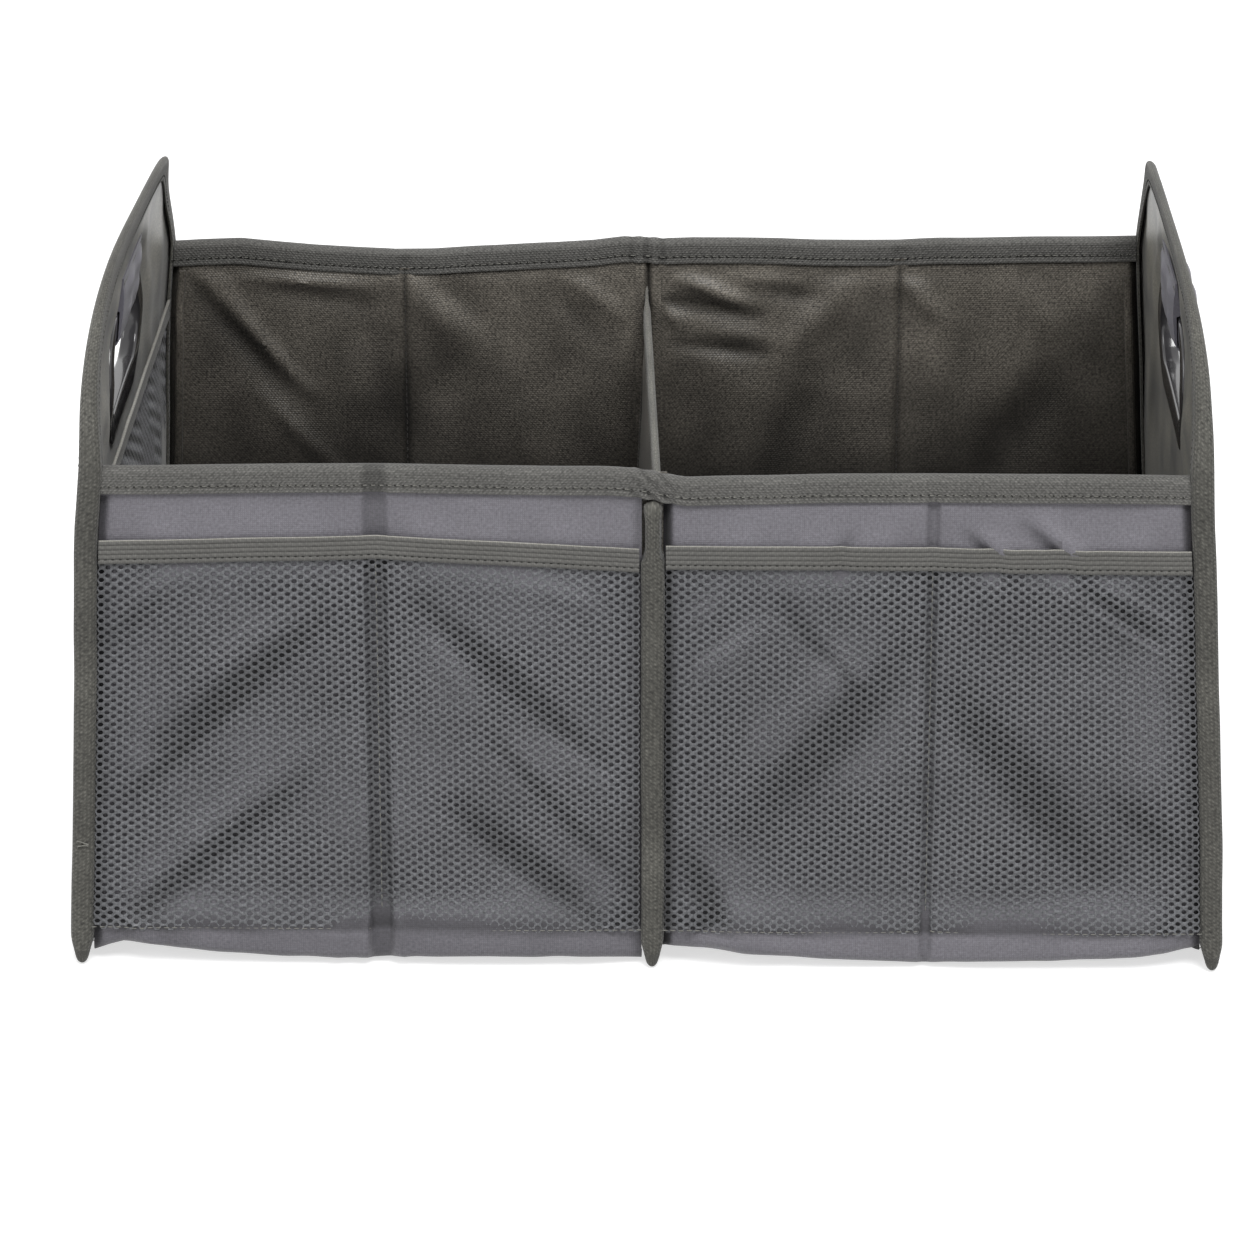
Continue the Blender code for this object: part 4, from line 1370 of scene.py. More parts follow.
        first = 0
        for cut, columns in zip(WALL_CUTS, NET_COLUMNS):
            corner = (self.edge[0] + net.pitch * (first + 0.5), up)
            piece = net.knit(f"{self.word}_net_{cut.word}", columns, rows, corner, lay, NET, shade)
            self.hold(cut).take(piece, NET, self.stands_for(cut, "pocket_net"))
            wide, cover = round(columns * net.pitch, 4), f"{self.word}_cover_{cut.word}"
            along = along_wall(max(cut.start, self.edge[0]), min(cut.end, self.edge[1]))
            low = self.net_bottom + 0.001
            paths = [self.point(along, self.net_out(along, 0 * along + low) + 0.0003, low)]
            if cut.word == "crease":
                z = np.linspace(self.net_bottom, self.band_top(np.array(S.crease)) - 0.012, 60)
                along = np.full(60, S.crease)
                paths.append(self.point(along, self.net_out(along, z) + 0.0003, z))
            self.hold(cut).sew(f"{self.word}_net_stitches_{cut.word}", STITCH, paths, THREAD)
            first += columns

    def build_crease_seam(self) -> None:
        """The stitches of the crease on the lining, and on the strip of outer cloth over the pocket."""
        cut = WALL_CUTS[1]
        z = np.linspace(S.rim - 0.014, 0.012, 90)
        along = np.full(90, S.crease)
        inner = self.point(along, S.wall_inner - S.wall_outer - self.lining_lift(along, z) - 0.0001, z)
        self.hold(cut).sew(f"{self.word}_crease_stitches", STITCH, [inner], DARK_THREAD)

    def build_corner_roll(self) -> None:
        """The rolled seam of the lining up the wall's outer corner."""
        z = np.linspace(0.009, S.rim - 0.014, 60)
        angles = np.linspace(0, 2 * math.pi, 13)[:-1]
        wave = Slack(self.look.seed + 41, 0.02).at(z, z * 0) * 0.0004
        rings = []
        for height, w in zip(z, wave):
            along = 0.2490 + 0.0021 * np.cos(angles) + w
            out = S.wall_inner - S.wall_outer - 0.0015 - 0.0013 * np.sin(angles) - w
            rings.append(self.point(along, out, height))
        piece = swept(f"{self.word}_corner_roll", np.array(rings), LINING)
        Hold((f"{self.word}_outer",)).take(piece, LINING)

    def build(self) -> None:
        """Builds every piece of the wall."""
        self.build_boards()
        self.build_cover()
        self.build_lining()
        self.build_rim_tape()
        self.build_crease_seam()
        if self.face is Face.FRONT:
            self.build_band()
            self.build_net()
        else:
            self.build_corner_roll()


# Uprights: the divider and the end panels


def foot_run(inset: float) -> list[tuple[float, float]]:
    """The bottom edge of an upright's outline and its two round corners, from the back to the front."""
    radius = max(S.upright_corner - inset, 0.0004)
    edge = S.half_depth - inset - radius
    low = [(y, inset) for y in np.linspace(-edge, edge, 62)[1:-1]]
    up = inset + radius
    return arc(-edge, up, radius, 180, 270, 6) + low + arc(edge, up, radius, 270, 360, 6)


def arch_run(inset: float) -> list[tuple[float, float]]:
    """The arch of an end panel's outline, from the back to the front."""
    points = []
    for share in np.linspace(1, -1, 121):
        across = math.sin(share * math.pi / 2)
        up = max(0.0, 1 - abs(across) ** S.arch_shoulder) ** S.arch_power
        slope = math.copysign(abs(across) ** (S.arch_shoulder - 1), across)
        rising = up ** (1 / S.arch_power - 1) / S.arch_power
        normal = Vector((slope * S.arch_shoulder / S.half_depth, rising / S.arch_rise)).normalized()
        points.append((across * S.half_depth - inset * normal.x, S.rim + up * S.arch_rise - inset * normal.y))
    return points


def end_outline(inset: float) -> Array:
    """An end panel's outline, taken in by the inset, as (y, z) points."""
    edge = S.half_depth - inset
    up = np.linspace(S.upright_corner + 0.003, S.rim - 0.002, 84)
    climb = [(edge, z) for z in up]
    fall = [(-edge, z) for z in up[::-1]]
    return np.array(foot_run(inset) + climb + arch_run(inset) + fall)


def divider_outline(inset: float) -> Array:
    """The divider's outline, taken in by the inset, its top dipped between its two posts."""
    radius = max(S.upright_corner - inset, 0.0004)
    edge = S.half_depth - inset
    level = S.divider_post - inset
    dip = S.divider_post - S.divider_top
    up = np.linspace(S.upright_corner + 0.003, level - radius - 0.001, 76)
    right = [(edge, z) for z in up] + arc(edge - radius, level - radius, radius, 0, 90, 5)
    left = [(-y, z) for y, z in reversed(right)]
    shares = [math.cos(math.pi * k / 96) for k in range(1, 96)]
    top = [((edge - radius) * share, level - dip * (1 - abs(share) ** 24)) for share in shares]
    return np.array(foot_run(inset) + right + top + left)


def hole_outline(outset: float) -> Array:
    """The hand hole's outline with round ends, grown by the outset."""
    radius = S.hole_height / 2 + outset
    straight = (S.hole_length - S.hole_height) / 2
    right = arc(straight, S.hole_middle, radius, -90, 90, 25)
    top = [(y, S.hole_middle + radius) for y in np.linspace(straight, -straight, 16)[1:-1]]
    return np.array(right + top + [(-y, 2 * S.hole_middle - z) for y, z in right + top])


def binding_profile() -> Array:
    """The binding tape's section over an edge, as (inset, across) points: out, round the edge, and back."""
    half, reach = S.bound / 2, S.tape_reach
    flank = [(reach, half + 0.0001), (reach - 0.0012, half + 0.0003), (reach - 0.0026, half - 0.0002)]
    flank += [(reach - 0.0040, half + 0.0001), (0.0055, half), (0.0036, half)]
    bend = [(0.0036 - 0.0036 * math.sin(a), half * math.cos(a)) for a in np.radians(np.linspace(15, 165, 11))]
    return folded_tape(flank + bend + [(inset, -across) for inset, across in reversed(flank)], 0.0036, 0.0036)


@dataclass(frozen=True)
class Upright:
    """What the divider and the end panels share: an outline that a tape binds."""

    word: str
    body: str
    middle: float
    sign: int
    leans: bool
    seed: int

    def outline(self, inset: float) -> Array:
        """The upright's outline."""
        return end_outline(inset) if self.leans else divider_outline(inset)

    def point(self, y: Array, z: Array, across: Array) -> Array:
        """Points of the upright, its thickness running outwards of the basket's middle."""
        y, z, across = np.broadcast_arrays(y, z, across)
        if self.leans:
            stand = STANCES[Side(self.sign)].at(y, z)
        else:
            stand = np.interp(y, (-0.185, -0.165, -0.110, 0.185), (0.0029, 0.0036, 0.0044, -0.0050))
        return np.stack([self.sign * (self.middle + across + stand), y, z], axis=-1)

    def hold(self) -> Hold:
        """The body that the upright's pieces move with."""
        return Hold((self.body,))

    def squeeze(self, y: Array, z: Array) -> Array:
        """How much of its width the tape keeps: it is pinched at the feet, and thin over an arch."""
        over = np.clip((z - S.rim) / S.arch_rise, 0, 1) if self.leans else 0 * z
        return (0.50 + 0.50 * ease(z / 0.016)) * (1 - 0.60 * over)

    def wear_and_highlight(self, y: Array, z: Array) -> Array:
        """How much lighter handling has made the tape: along the arch's crown."""
        return 0.25 * ease((z - 0.250) / 0.03)

    def body_keep(self, y: Array, z: Array) -> Array:
        """How much of its thickness the panel keeps inside its tape."""
        thin = 0.44 * ease((z - 0.15) / 0.06) if self.leans else 0 * z
        return self.squeeze(y, z) * (1 - thin)

    def build_binding(self) -> None:
        """The tape round the whole edge, and its two rows of stitches."""
        profile = binding_profile()
        loops = {inset: self.outline(inset) for inset in sorted(set(np.round(profile[:, 0], 7)))}
        columns = []
        for inset, across in profile:
            loop = loops[round(inset, 7)]
            wave = Slack(self.seed, 0.022).at(np.cumsum(np.full(len(loop), 0.003)), np.zeros(len(loop)))
            keep = self.squeeze(loop[:, 0], loop[:, 1])
            columns.append(self.point(loop[:, 0], loop[:, 1], (across + wave * 0.00022) * keep))
        loop = self.outline(0.0)
        # Lighter tape: wear on the arch's crown and the divider top's painted highlight, with random tone.
        worn_and_highlit = (
            -self.wear_and_highlight(loop[:, 0], loop[:, 1])[:, None]
            + 0.10 * Slack(self.seed + 3, 0.010).at(loop[:, 0], loop[:, 1])[:, None]
        )
        # A painted highlight along the tape's inner edge, high on the end panels.
        edge_highlight = 0.75 * (profile[:, 0] > S.tape_reach - 0.0007) * (profile[:, 1] < 0) * self.leans
        edge_highlight = edge_highlight * ease((loop[:, 1] - 0.200) / 0.05)[:, None]
        piece = swept(
            f"{self.word}_binding", np.stack(columns, axis=1), EDGE_TAPE, looped=True, painted_shading=worn_and_highlit - edge_highlight
        )
        self.hold().take(piece, EDGE_TAPE, [f"{self.word}_binding"])
        row = self.outline(S.tape_reach - 0.0026)
        row = np.concatenate([row, row[:1]])
        keep = self.squeeze(row[:, 0], row[:, 1])
        rows = [self.point(row[:, 0], row[:, 1], face * (S.bound / 2 - 0.00005) * keep) for face in (-1, 1)]
        sew_row(f"{self.word}_binding", "", rows, self.hold())

    def face_lift(self, y: Array, z: Array, seed: int) -> Array:
        """How far a face's cloth stands off, between its tape and the middle."""
        slack = Slack(seed, 0.055).at(y, z) * 0.0006 + Slack(seed + 5, 0.020).at(y, z) * 0.00025
        high = S.rim + S.arch_rise if self.leans else S.divider_top
        soft = ease((0.168 - np.abs(y)) / 0.020) * ease((z - 0.012) / 0.02) * ease((high - 0.012 - z) / 0.02)
        return (0.0003 + slack + 0.0006) * soft

    def cloth_face(
        self, name: str, face: int, holes: Sequence[Array], finish: Finish, lift: Callable[[Array, Array], Array]
    ) -> bpy.types.Object:
        """One face's cloth.

        Args:
            name: The piece's name.
            face: 1 for the face outwards of the basket's middle, -1 for the other.
            holes: The holes in it.
            finish: The cloth.
            lift: How far it stands off at (y, z).

        Returns:
            The cloth.
        """
        flat, triangles = filled_outline(self.outline(0.0022)[::2], holes, 0.0050)
        y, z = flat[:, 0], flat[:, 1]
        half = S.body / 2 * self.body_keep(y, z) + lift(y, z)
        outer = self.point(y, z, face * half)
        inner = self.point(y, z, face * np.maximum(half - S.cloth, 0.0002))
        return panel(name, flat, triangles, outer, inner, finish)

    def build_board(self, holes: Sequence[Array]) -> None:
        """The stiff board, clear of the feet."""
        flat, triangles = filled_outline(self.outline(0.0068)[::3], holes, 0.012)
        y, z = flat[:, 0], flat[:, 1]
        keep = self.body_keep(y, z) * (0.75 + 0.25 * ease(z / 0.03))
        outer, inner = (self.point(y, z, face * 0.0021 * keep) for face in (1, -1))
        piece = panel(f"{self.word}_board", flat, triangles, outer, inner, BOARD)
        self.hold().take(piece, BOARD, [f"{self.word}_board"])


@dataclass(frozen=True)
class Divider(Upright):
    """The middle upright, lined on both faces, its front edge the basket's middle post."""

    def squeeze(self, y: Array, z: Array) -> Array:
        """Pinched at the feet, and twisted narrow in front between the rim tape and the pocket's band."""
        front = ease((-y - 0.165) / 0.010)
        pinch = ease((z - 0.2090) / 0.003) * (1 - 0.45 * ease((z - 0.228) / 0.008))
        top = ease((z - 0.100) / 0.110) * ease((0.168 + y) / 0.010)
        tip = ease((y - 0.158) / 0.014) * ease((z - 0.170) / 0.04)
        return (0.50 + 0.50 * ease(z / 0.016)) * (1 - 0.34 * front * pinch) * (1 - 0.64 * top) * (1 - 0.55 * tip)

    def wear_and_highlight(self, y: Array, z: Array) -> Array:
        """A painted satin highlight along the tape's top."""
        return 1.20 * ease((z - 0.205) / 0.012) * ease((y + 0.166) / 0.006)

    def build_gussets(self) -> None:
        """Where the two bays' linings meet over the divider, a strip with a seam down its middle."""
        across, z = np.meshgrid(np.linspace(-0.0066, 0.0066, 23), np.linspace(0.0200, 0.2545, 90))
        for face in Face:
            seam = np.exp(-((across / 0.0014) ** 2))
            y = face.value * (S.wall_inner - 0.0007 + 0.0026 * seam)
            shift = np.interp(face.value * S.wall_inner, (-0.185, -0.100, 0.185), (0.0029, 0.0035, -0.0040))
            grid = np.stack([across + shift, y, z - (0.004 if face is Face.FRONT else 0)], axis=-1)
            name = f"divider_{face.word}_gusset"
            # Painted shade along the seam's groove.
            piece = cloth_sheet(name, grid, Vector((0, -face.value, 0)), S.cloth, LINING, 0.85 * seam)
            Hold(("divider",)).take(piece, LINING)

    def build(self) -> None:
        """Builds every piece of the divider."""
        self.build_board([])
        for side in Side:
            face = side.value
            name = f"divider_{side.word}_cover"
            piece = self.cloth_face(name, face, [], LINING, lambda y, z, k=side.value: self.face_lift(y, z, 70 + k))
            self.hold().take(piece, LINING, [name])
        self.build_binding()
        self.build_gussets()


@dataclass(frozen=True)
class EndPanel(Upright):
    """An arched end panel with a hand hole, its moulded ring and the padded sleeve over the ring's bar."""

    ring_reach: float = 0.0148
    ring_wall: float = 0.0030
    ring_proud: float = 0.0018
    sleeve_half: float = 0.0400
    sleeve_top: float = 0.3010

    def lining_lift(self, y: Array, z: Array) -> Array:
        """The lining's own folds, over the soft lift that both faces share."""
        own = folds(
            (-120, 265, -60, 225, 9, 1.6), (60, 300, 120, 240, 10, 1.8), (20, 308, 90, 285, 8, 1.2),
            (-90, 300, -40, 290, 8, 1.0), (110, 230, 140, 170, 10, 1.4), (-140, 235, -120, 180, 9, 1.2),
        )
        soft = ease((0.166 - np.abs(y)) / 0.02)
        return self.face_lift(y, z, self.seed + 2) + folds_at(own, y, z) * soft

    def build_ring(self) -> None:
        """The moulded ring: a wall through the hole and a rounded flange on both faces."""
        face = 0.0003
        crown = face + self.ring_proud
        r = 0.0012
        profile = [(self.ring_wall, face), (self.ring_reach, face)]
        profile += arc(self.ring_reach - r, crown - r, r, 0, 90, 5)
        profile += [(self.ring_reach - 0.0050, crown + 0.0003), (0.0060, crown + 0.0003)]
        big = 0.0016
        profile += arc(big, crown - big, big, 90, 180, 7)
        columns = []
        for face_sign, run in ((1, profile), (-1, profile[::-1])):
            for outset, proud in run:
                loop = hole_outline(outset)
                y, z = loop[:, 0], loop[:, 1]
                columns.append(self.point(y, z, face_sign * (S.body / 2 * self.body_keep(y, z) + proud)))
        piece = swept(f"{self.word}_grip_ring", np.stack(columns, axis=1), RING, looped=True, angle=40)
        self.hold().take(piece, RING, [f"{self.word}_grip_ring"])

    def build_sleeve(self) -> None:
        """The padded sleeve: it folds under the ring's top bar and climbs both faces to a sewn top edge."""
        face = S.body / 2 * float(self.body_keep(np.array(0.0), np.array(0.285))) + 0.0005
        under = S.hole_middle + S.hole_height / 2 - 0.0004
        bar_top = under + self.ring_reach + 0.0010
        thick = 0.0016
        places = np.linspace(-1, 1, 33)
        rings = []
        for share in places:
            end = abs(share) ** 6
            puff = (1 - end) * (0.0016 + 0.0006 * math.sin(share * 7 + self.seed))
            flange = face + self.ring_proud + 0.0004
            skin = [(face + thick * 0.7, self.sleeve_top), (face + thick + puff * 0.5, self.sleeve_top - 0.004)]
            skin += [
                (face + thick + 0.0012 + puff, (self.sleeve_top + bar_top) / 2),
                (flange + thick + puff * 0.6, bar_top),
            ]
            skin += [
                (flange + thick + puff, (bar_top + under) / 2 + 0.002),
                (flange + thick * 0.8 + puff * 0.5, under + 0.0020),
            ]
            bend = [
                (flange * math.cos(a), under - (thick + 0.0008) * math.sin(a)) for a in np.radians((25, 50, 70, 90))
            ]
            outer = smooth_run(np.array(skin), 4)[:-1].tolist() + [skin[-1]] + bend
            outer = outer + [(-x, z) for x, z in reversed(outer[:-1])]
            back = [(face + 0.0001, self.sleeve_top), (face + 0.0001, bar_top + 0.0006), (flange, bar_top - 0.0004)]
            back += [(flange, under), (0.0, under)]
            back = back + [(-x, z) for x, z in reversed(back[:-1])]
            section = np.array(outer + back[::-1])
            y = self.sleeve_half * share * (1 - 0.03 * np.sin((section[:, 1] - under) * 60))
            rings.append(self.point(y, section[:, 1], section[:, 0]))
        piece = swept(f"{self.word}_grip_sleeve", np.array(rings), SLEEVE, angle=65)
        self.hold().take(piece, SLEEVE, [f"{self.word}_grip_sleeve"])
        rows = []
        y = np.linspace(-self.sleeve_half + 0.003, self.sleeve_half - 0.003, 40)
        for side in (-1, 1):
            rows.append(self.point(y, self.sleeve_top - 0.0030, side * (face + thick + 0.0003)))
        self.hold().sew(f"{self.word}_sleeve_stitches", STITCH, rows, THREAD)

    def build_inner_pocket(self) -> None:
        """The net pocket inside the panel, with its hem band."""
        low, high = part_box(f"{self.word}_pocket_net")
        band_low, band_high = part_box(f"{self.word}_pocket_band")
        net = Mesh6(pitch=0.0035, rows_apart=0.0049)
        columns = int((high.y - low.y) / net.pitch)
        rows = int((band_low.z + 0.002 - low.z) / net.rows_apart - 0.5)
        face = S.body / 2 * 0.56

        def off(y: Array, z: Array) -> Array:
            """How far the pocket stands off the lining: slack in its middle."""
            edge = ease((0.160 - np.abs(y)) / 0.05) * ease((z - low.z) / 0.05) * ease((band_low.z - z) / 0.03)
            return 0.0012 + 0.0020 * edge + (0.0002 + 0.0005 * edge) * Slack(91, 0.03).at(y, z)

        def rise(y: Array, z: Array) -> Array:
            """The hem pulls the net up, more in front than behind."""
            return np.interp(y, (-0.17, 0.17), (0.0125, 0.0065)) * ease((z - 0.03) / (band_low.z - 0.03))

        def place(y: Array, z: Array, out: Array) -> Array:
            """Places inside of the panel, straight across where the panel bows away."""
            kept = ease((z - 0.10) / 0.08)
            bow = STANCES[Side(self.sign)].at(y, z) - STANCES[Side(self.sign)].at(y, z, 1 - kept)
            return self.point(y, z + rise(y, z), -(out + bow))

        def shade(y: Array, z: Array) -> Array:
            """Painted shade and painted highlight in slanting folds, close together and short."""
            short = np.clip(0.75 + 1.2 * Slack(95, 0.030).at(y, z), 0, 1)
            return np.clip(short * (0.15 + 1.90 * np.sin((z + 0.375 * y) * 2 * math.pi / 0.0088)), -1.1, 0.97)

        def lay(across: Array, height: Array, thick: Array) -> Array:
            """Places of the net on the panel's inner face."""
            return place(across, height, face + off(across, height) + thick)

        corner = (low.y + net.pitch / 2, low.z + net.rows_apart / 2)
        piece = net.knit(f"{self.word}_pocket_net_knit", columns, rows, corner, lay, NET, shade)
        self.hold().take(piece, NET, [f"{self.word}_pocket_net"])
        f"{self.word}_lining"
        drop = np.linspace(0, band_high.z - band_low.z, 25)
        bulge = 0.0004 * np.abs(np.sin(math.pi * drop / 0.0025)) ** 0.6
        rib = np.concatenate([np.stack([0.0014 + bulge, -drop], axis=1), [(0.0004, -drop[-1]), (0.0004, 0)]])
        hem = np.array(arc(0.0012, 0.0, 0.0008, 0, 324, 10))
        # The hem takes the elastic edge's painted highlight.
        for part, section, finish, node in (("band_rib", rib, ELASTIC, ["_pocket_band"]), ("hem", hem, PIPING_HIGHLIGHT, [])):
            rings = [
                place(y, band_high.z + section[:, 1], face + off(y, band_low.z) + section[:, 0])
                for y in np.linspace(band_low.y, band_high.y, 90)
            ]
            piece = swept(f"{self.word}_pocket_{part}", np.array(rings), finish, angle=60)
            self.hold().take(piece, finish, [self.word + name for name in node])

    def build(self) -> None:
        """Builds every piece of the end panel."""
        self.build_board([hole_outline(0.0055)])
        for part, face, finish, lift in (
            ("cover", 1, OUTER, lambda y, z: self.face_lift(y, z, self.seed + 1)),
            ("lining", -1, END_LINING_PAINTED_SHEEN, self.lining_lift),
        ):
            name = f"{self.word}_{part}"
            cloth = self.cloth_face(name, face, [hole_outline(0.0050)], finish, lift)
            self.hold().take(cloth, finish, [name])
            f"{self.word}_board"
        self.build_binding()
        self.build_ring()
        self.build_sleeve()
        if self.sign < 0:
            self.build_inner_pocket()


def smooth_run(points: Array, steps: int) -> Array:
    """A smooth run through points, with this many steps between each two."""
    padded = np.concatenate([2 * points[:1] - points[1:2], points, 2 * points[-1:] - points[-2:-1]])
    made = []
    for k in range(1, len(padded) - 2):
        a, b, c, d = padded[k - 1 : k + 3]
        for t in np.linspace(0, 1, steps + 1)[:-1]:
            made.append(
                0.5 * (2 * b + (c - a) * t + (2 * a - 5 * b + 4 * c - d) * t**2 + (3 * b - a - 3 * c + d) * t**3)
            )
    made.append(points[-1])
    return np.array(made)


@dataclass(frozen=True)
class FloorCloth:
    """A bay's soft floor."""

    side: Side
    start: float = 0.0047
    end: float = 0.2560
    half: float = 0.1716
    keep: float = 0.18

    def build(self) -> None:
        """One loose sheet between the walls' feet."""
        along = np.linspace(self.start, self.end, 100)[None, :]
        y = np.linspace(-self.half, self.half, 130)[:, None]
        slack = Slack(55, 0.05).at(along, y + 0.3) * 0.0004 + Slack(57, 0.02).at(along, y + 0.3) * 0.0002
        soft = ease((self.half - np.abs(y)) / 0.01)
        corner = (
            np.maximum(ease((along - 0.215) / 0.035), 1 - ease((along - 0.006) / 0.035)) * ease((-y - 0.12) / 0.05)
        )
        z = S.floor_top + slack * soft + 0.0002 + 0.0025 * corner
        shift = np.interp(y, (-0.185, -0.100, 0.185), (0.0029, 0.0035, -0.0040)) * (1 - along / self.end)
        spread = 0.011 * ease((along - 0.14) / 0.112)
        grid = np.stack([self.side.value * (along + spread) + shift, y + 0 * along, z], axis=-1)
        piece = cloth_sheet(f"{self.side.word}_floor_cloth", grid, Vector((0, 0, 1)), S.cloth, FLOOR)
        Hold(("divider",)).take(piece, FLOOR, [f"{self.side.word}_floor"])
        f"{self.side.word}_fold"
        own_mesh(piece)
        f"{self.side.word}_front_cover_inner"


@dataclass(frozen=True)
class LooseThread:
    """The frayed thread end on the left end panel's front edge."""

    place: tuple[float, float, float] = (-0.2668, -0.1846, 0.0640)
    radius: float = 0.00035

    def build(self) -> None:
        """A few short curled threads."""
        rng = np.random.default_rng(5)
        points, faces = [], []
        for strand in range(7):
            bend = rng.uniform(-1, 1, 3) * 0.0025
            start = np.array(self.place) + rng.uniform(-1, 1, 3) * (0.0005, 0.0003, 0.0012)
            way = np.array([-0.0050, -0.0006, rng.uniform(-0.0015, 0.0015)])
            for k in range(9):
                t = k / 8
                centre = start + way * t + bend * math.sin(3 * t) * t
                for a in np.radians(np.arange(0, 360, 72)):
                    points.append(centre + self.radius * (1 - 0.4 * t) * np.array([0, math.cos(a), math.sin(a)]))
            base = strand * 45
            faces += [f for f in (grid_faces(9, 5, base, closed=True)).tolist()]
            faces += [[base + 4 - k for k in range(5)], [base + 40 + k for k in range(5)]]
        piece = make_piece("left_end_loose_threads", np.array(points), faces, THREAD, np.array(points)[:, 1:])
        Hold(("left_end",)).take(piece, THREAD)


# Looks of the four walls. Their folds follow from how such a wall has been folded flat.

FRONT_LEFT = WallLook(
    outer_folds=folds(
        (156, 176, 222, 118, 7, -1.7), (162, 186, 228, 130, 8, 1.0), (184, 145, 240, 86, 4, -1.0),
        (156, 108, 234, 28, 7, -1.7), (148, 120, 226, 48, 9, 0.9), (212, 205, 246, 178, 6, 1.0),
        (220, 196, 248, 168, 5, -0.9), (107, 184, 24, 108, 6, -1.7), (108, 172, 84, 136, 7, 1.2),
        (77, 119, 13, 47, 4, -1.0), (94, 84, 30, 30, 7, -1.5), (40, 112, 12, 76, 9, 1.2),
        (60, 198, 22, 184, 6, 1.1), (240, 26, 226, 10, 4, 1.6), (244, 18, 214, 14, 3, -1.2),
        (122, 26, 118, 6, 3, 1.6), (134, 26, 140, 6, 3, 1.4), (146, 24, 152, 8, 3, 0.9), (190, 18, 60, 15, 4, 0.8),
    ),
    lining_folds=folds((200, 220, 150, 180, 10, 1.2), (90, 215, 50, 160, 12, 1.2)),
    rim_rises=((0, -1.0), (8, 0.2), (20, 0.9), (70, 1.3), (128, 2.0), (133, 2.0), (200, 0.9), (254, 0.2)),
    feet=(
        (0, 1.6), (8, 1.8), (22, 2.3), (50, 2.6), (77, 2.6), (115, 2.1), (133, 1.1), (152, 1.1), (171, 1.6),
        (189, 3.1), (217, 5.5), (229, 7.6), (240, 9.2), (247, 7.0), (254, 4.2),
    ),
    band_tops=((0, 215.0), (8, 215.4), (70, 219.0), (129, 221.2), (190, 220.0), (254, 217.8)), shift=(2.9, 2.8),
    channel=0.0034, channel_depth=0.0026, seed=3,
)
FRONT_RIGHT = WallLook(
    outer_folds=folds(
        (116, 162, 48, 78, 13, -1.5), (104, 172, 40, 104, 9, 0.8), (141, 144, 206, 56, 12, -1.5),
        (204, 195, 238, 172, 3.5, -1.5), (212, 198, 244, 178, 3, 1.0), (196, 192, 236, 164, 3.5, 1.0),
        (61, 189, 97, 142, 5, -1.2), (52, 176, 20, 150, 7, 1.3), (72, 180, 100, 148, 5, 1.0),
        (30, 190, 10, 172, 6, 1.0), (146, 222, 164, 206, 3, -1.3), (152, 224, 172, 208, 3, 1.1),
        (174, 226, 196, 206, 3.5, -1.6), (182, 228, 206, 208, 3.5, 1.2), (92, 222, 84, 206, 3, -1.0),
        (16, 60, 34, 20, 7, -1.4), (214, 90, 246, 60, 8, -1.0), (16, 20, 60, 12, 4, 1.5), (60, 17, 200, 15, 5, 0.7),
        (26, 26, 14, 12, 4, -1.4),
    ),
    lining_folds=folds((180, 225, 140, 190, 10, 1.2), (60, 215, 100, 170, 12, 1.2)),
    rim_rises=((0, -1.0), (6, -2.4), (16, -4.0), (40, -3.0), (90, -2.0), (129, -1.6), (254, -1.8)),
    feet=(
        (0, 8.5), (11, 7.9), (25, 7.8), (44, 5.1), (62, 4.1), (81, 2.6), (100, 1.6), (118, 0.8), (137, 0.8),
        (155, 1.6), (174, 1.6), (193, 2.6), (211, 3.1), (225, 4.5), (237, 6.0), (246, 8.1), (254, 9.6),
    ),
    band_tops=((0, 216.8), (16, 216.9), (80, 217.4), (129, 216.7), (254, 215.4)), shift=(2.9, 4.5), channel=0.0008,
    channel_depth=0.0022, seed=8,
)
BACK_LEFT = WallLook(
    lining_folds=folds(
        (241, 240, 181, 172, 3.0, 2.0), (247, 240, 186, 166, 7, -1.0), (215, 238, 150, 230, 5, 1.8),
        (232, 240, 196, 190, 2.5, 1.0), (205, 170, 160, 120, 4, 1.1), (150, 215, 120, 130, 14, -0.9),
        (205, 231, 150, 222, 6, -0.6), (132, 236, 92, 196, 9, 1.5), (116, 236, 84, 210, 8, -0.6),
        (224, 182, 170, 130, 14, 0.9), (40, 236, 14, 214, 5, 1.6), (52, 232, 22, 200, 6, -0.7),
        (100, 190, 50, 120, 16, 0.9),
    ),
    outer_folds=folds((60, 190, 110, 120, 14, 1.2), (200, 200, 150, 130, 14, 1.2), (220, 90, 160, 40, 12, -1.0)),
    rim_rises=(
        (0, 4.4), (13, 4.5), (29, 2.4), (50, 1.1), (72, 0.3), (93, -0.7), (114, -2.2), (135, -2.9), (156, -2.0),
        (177, -0.9), (198, 0.8), (219, 2.8), (240, 2.0), (254, 1.2),
    ),
    shift=(-4.0, -2.8), seed=14,
)
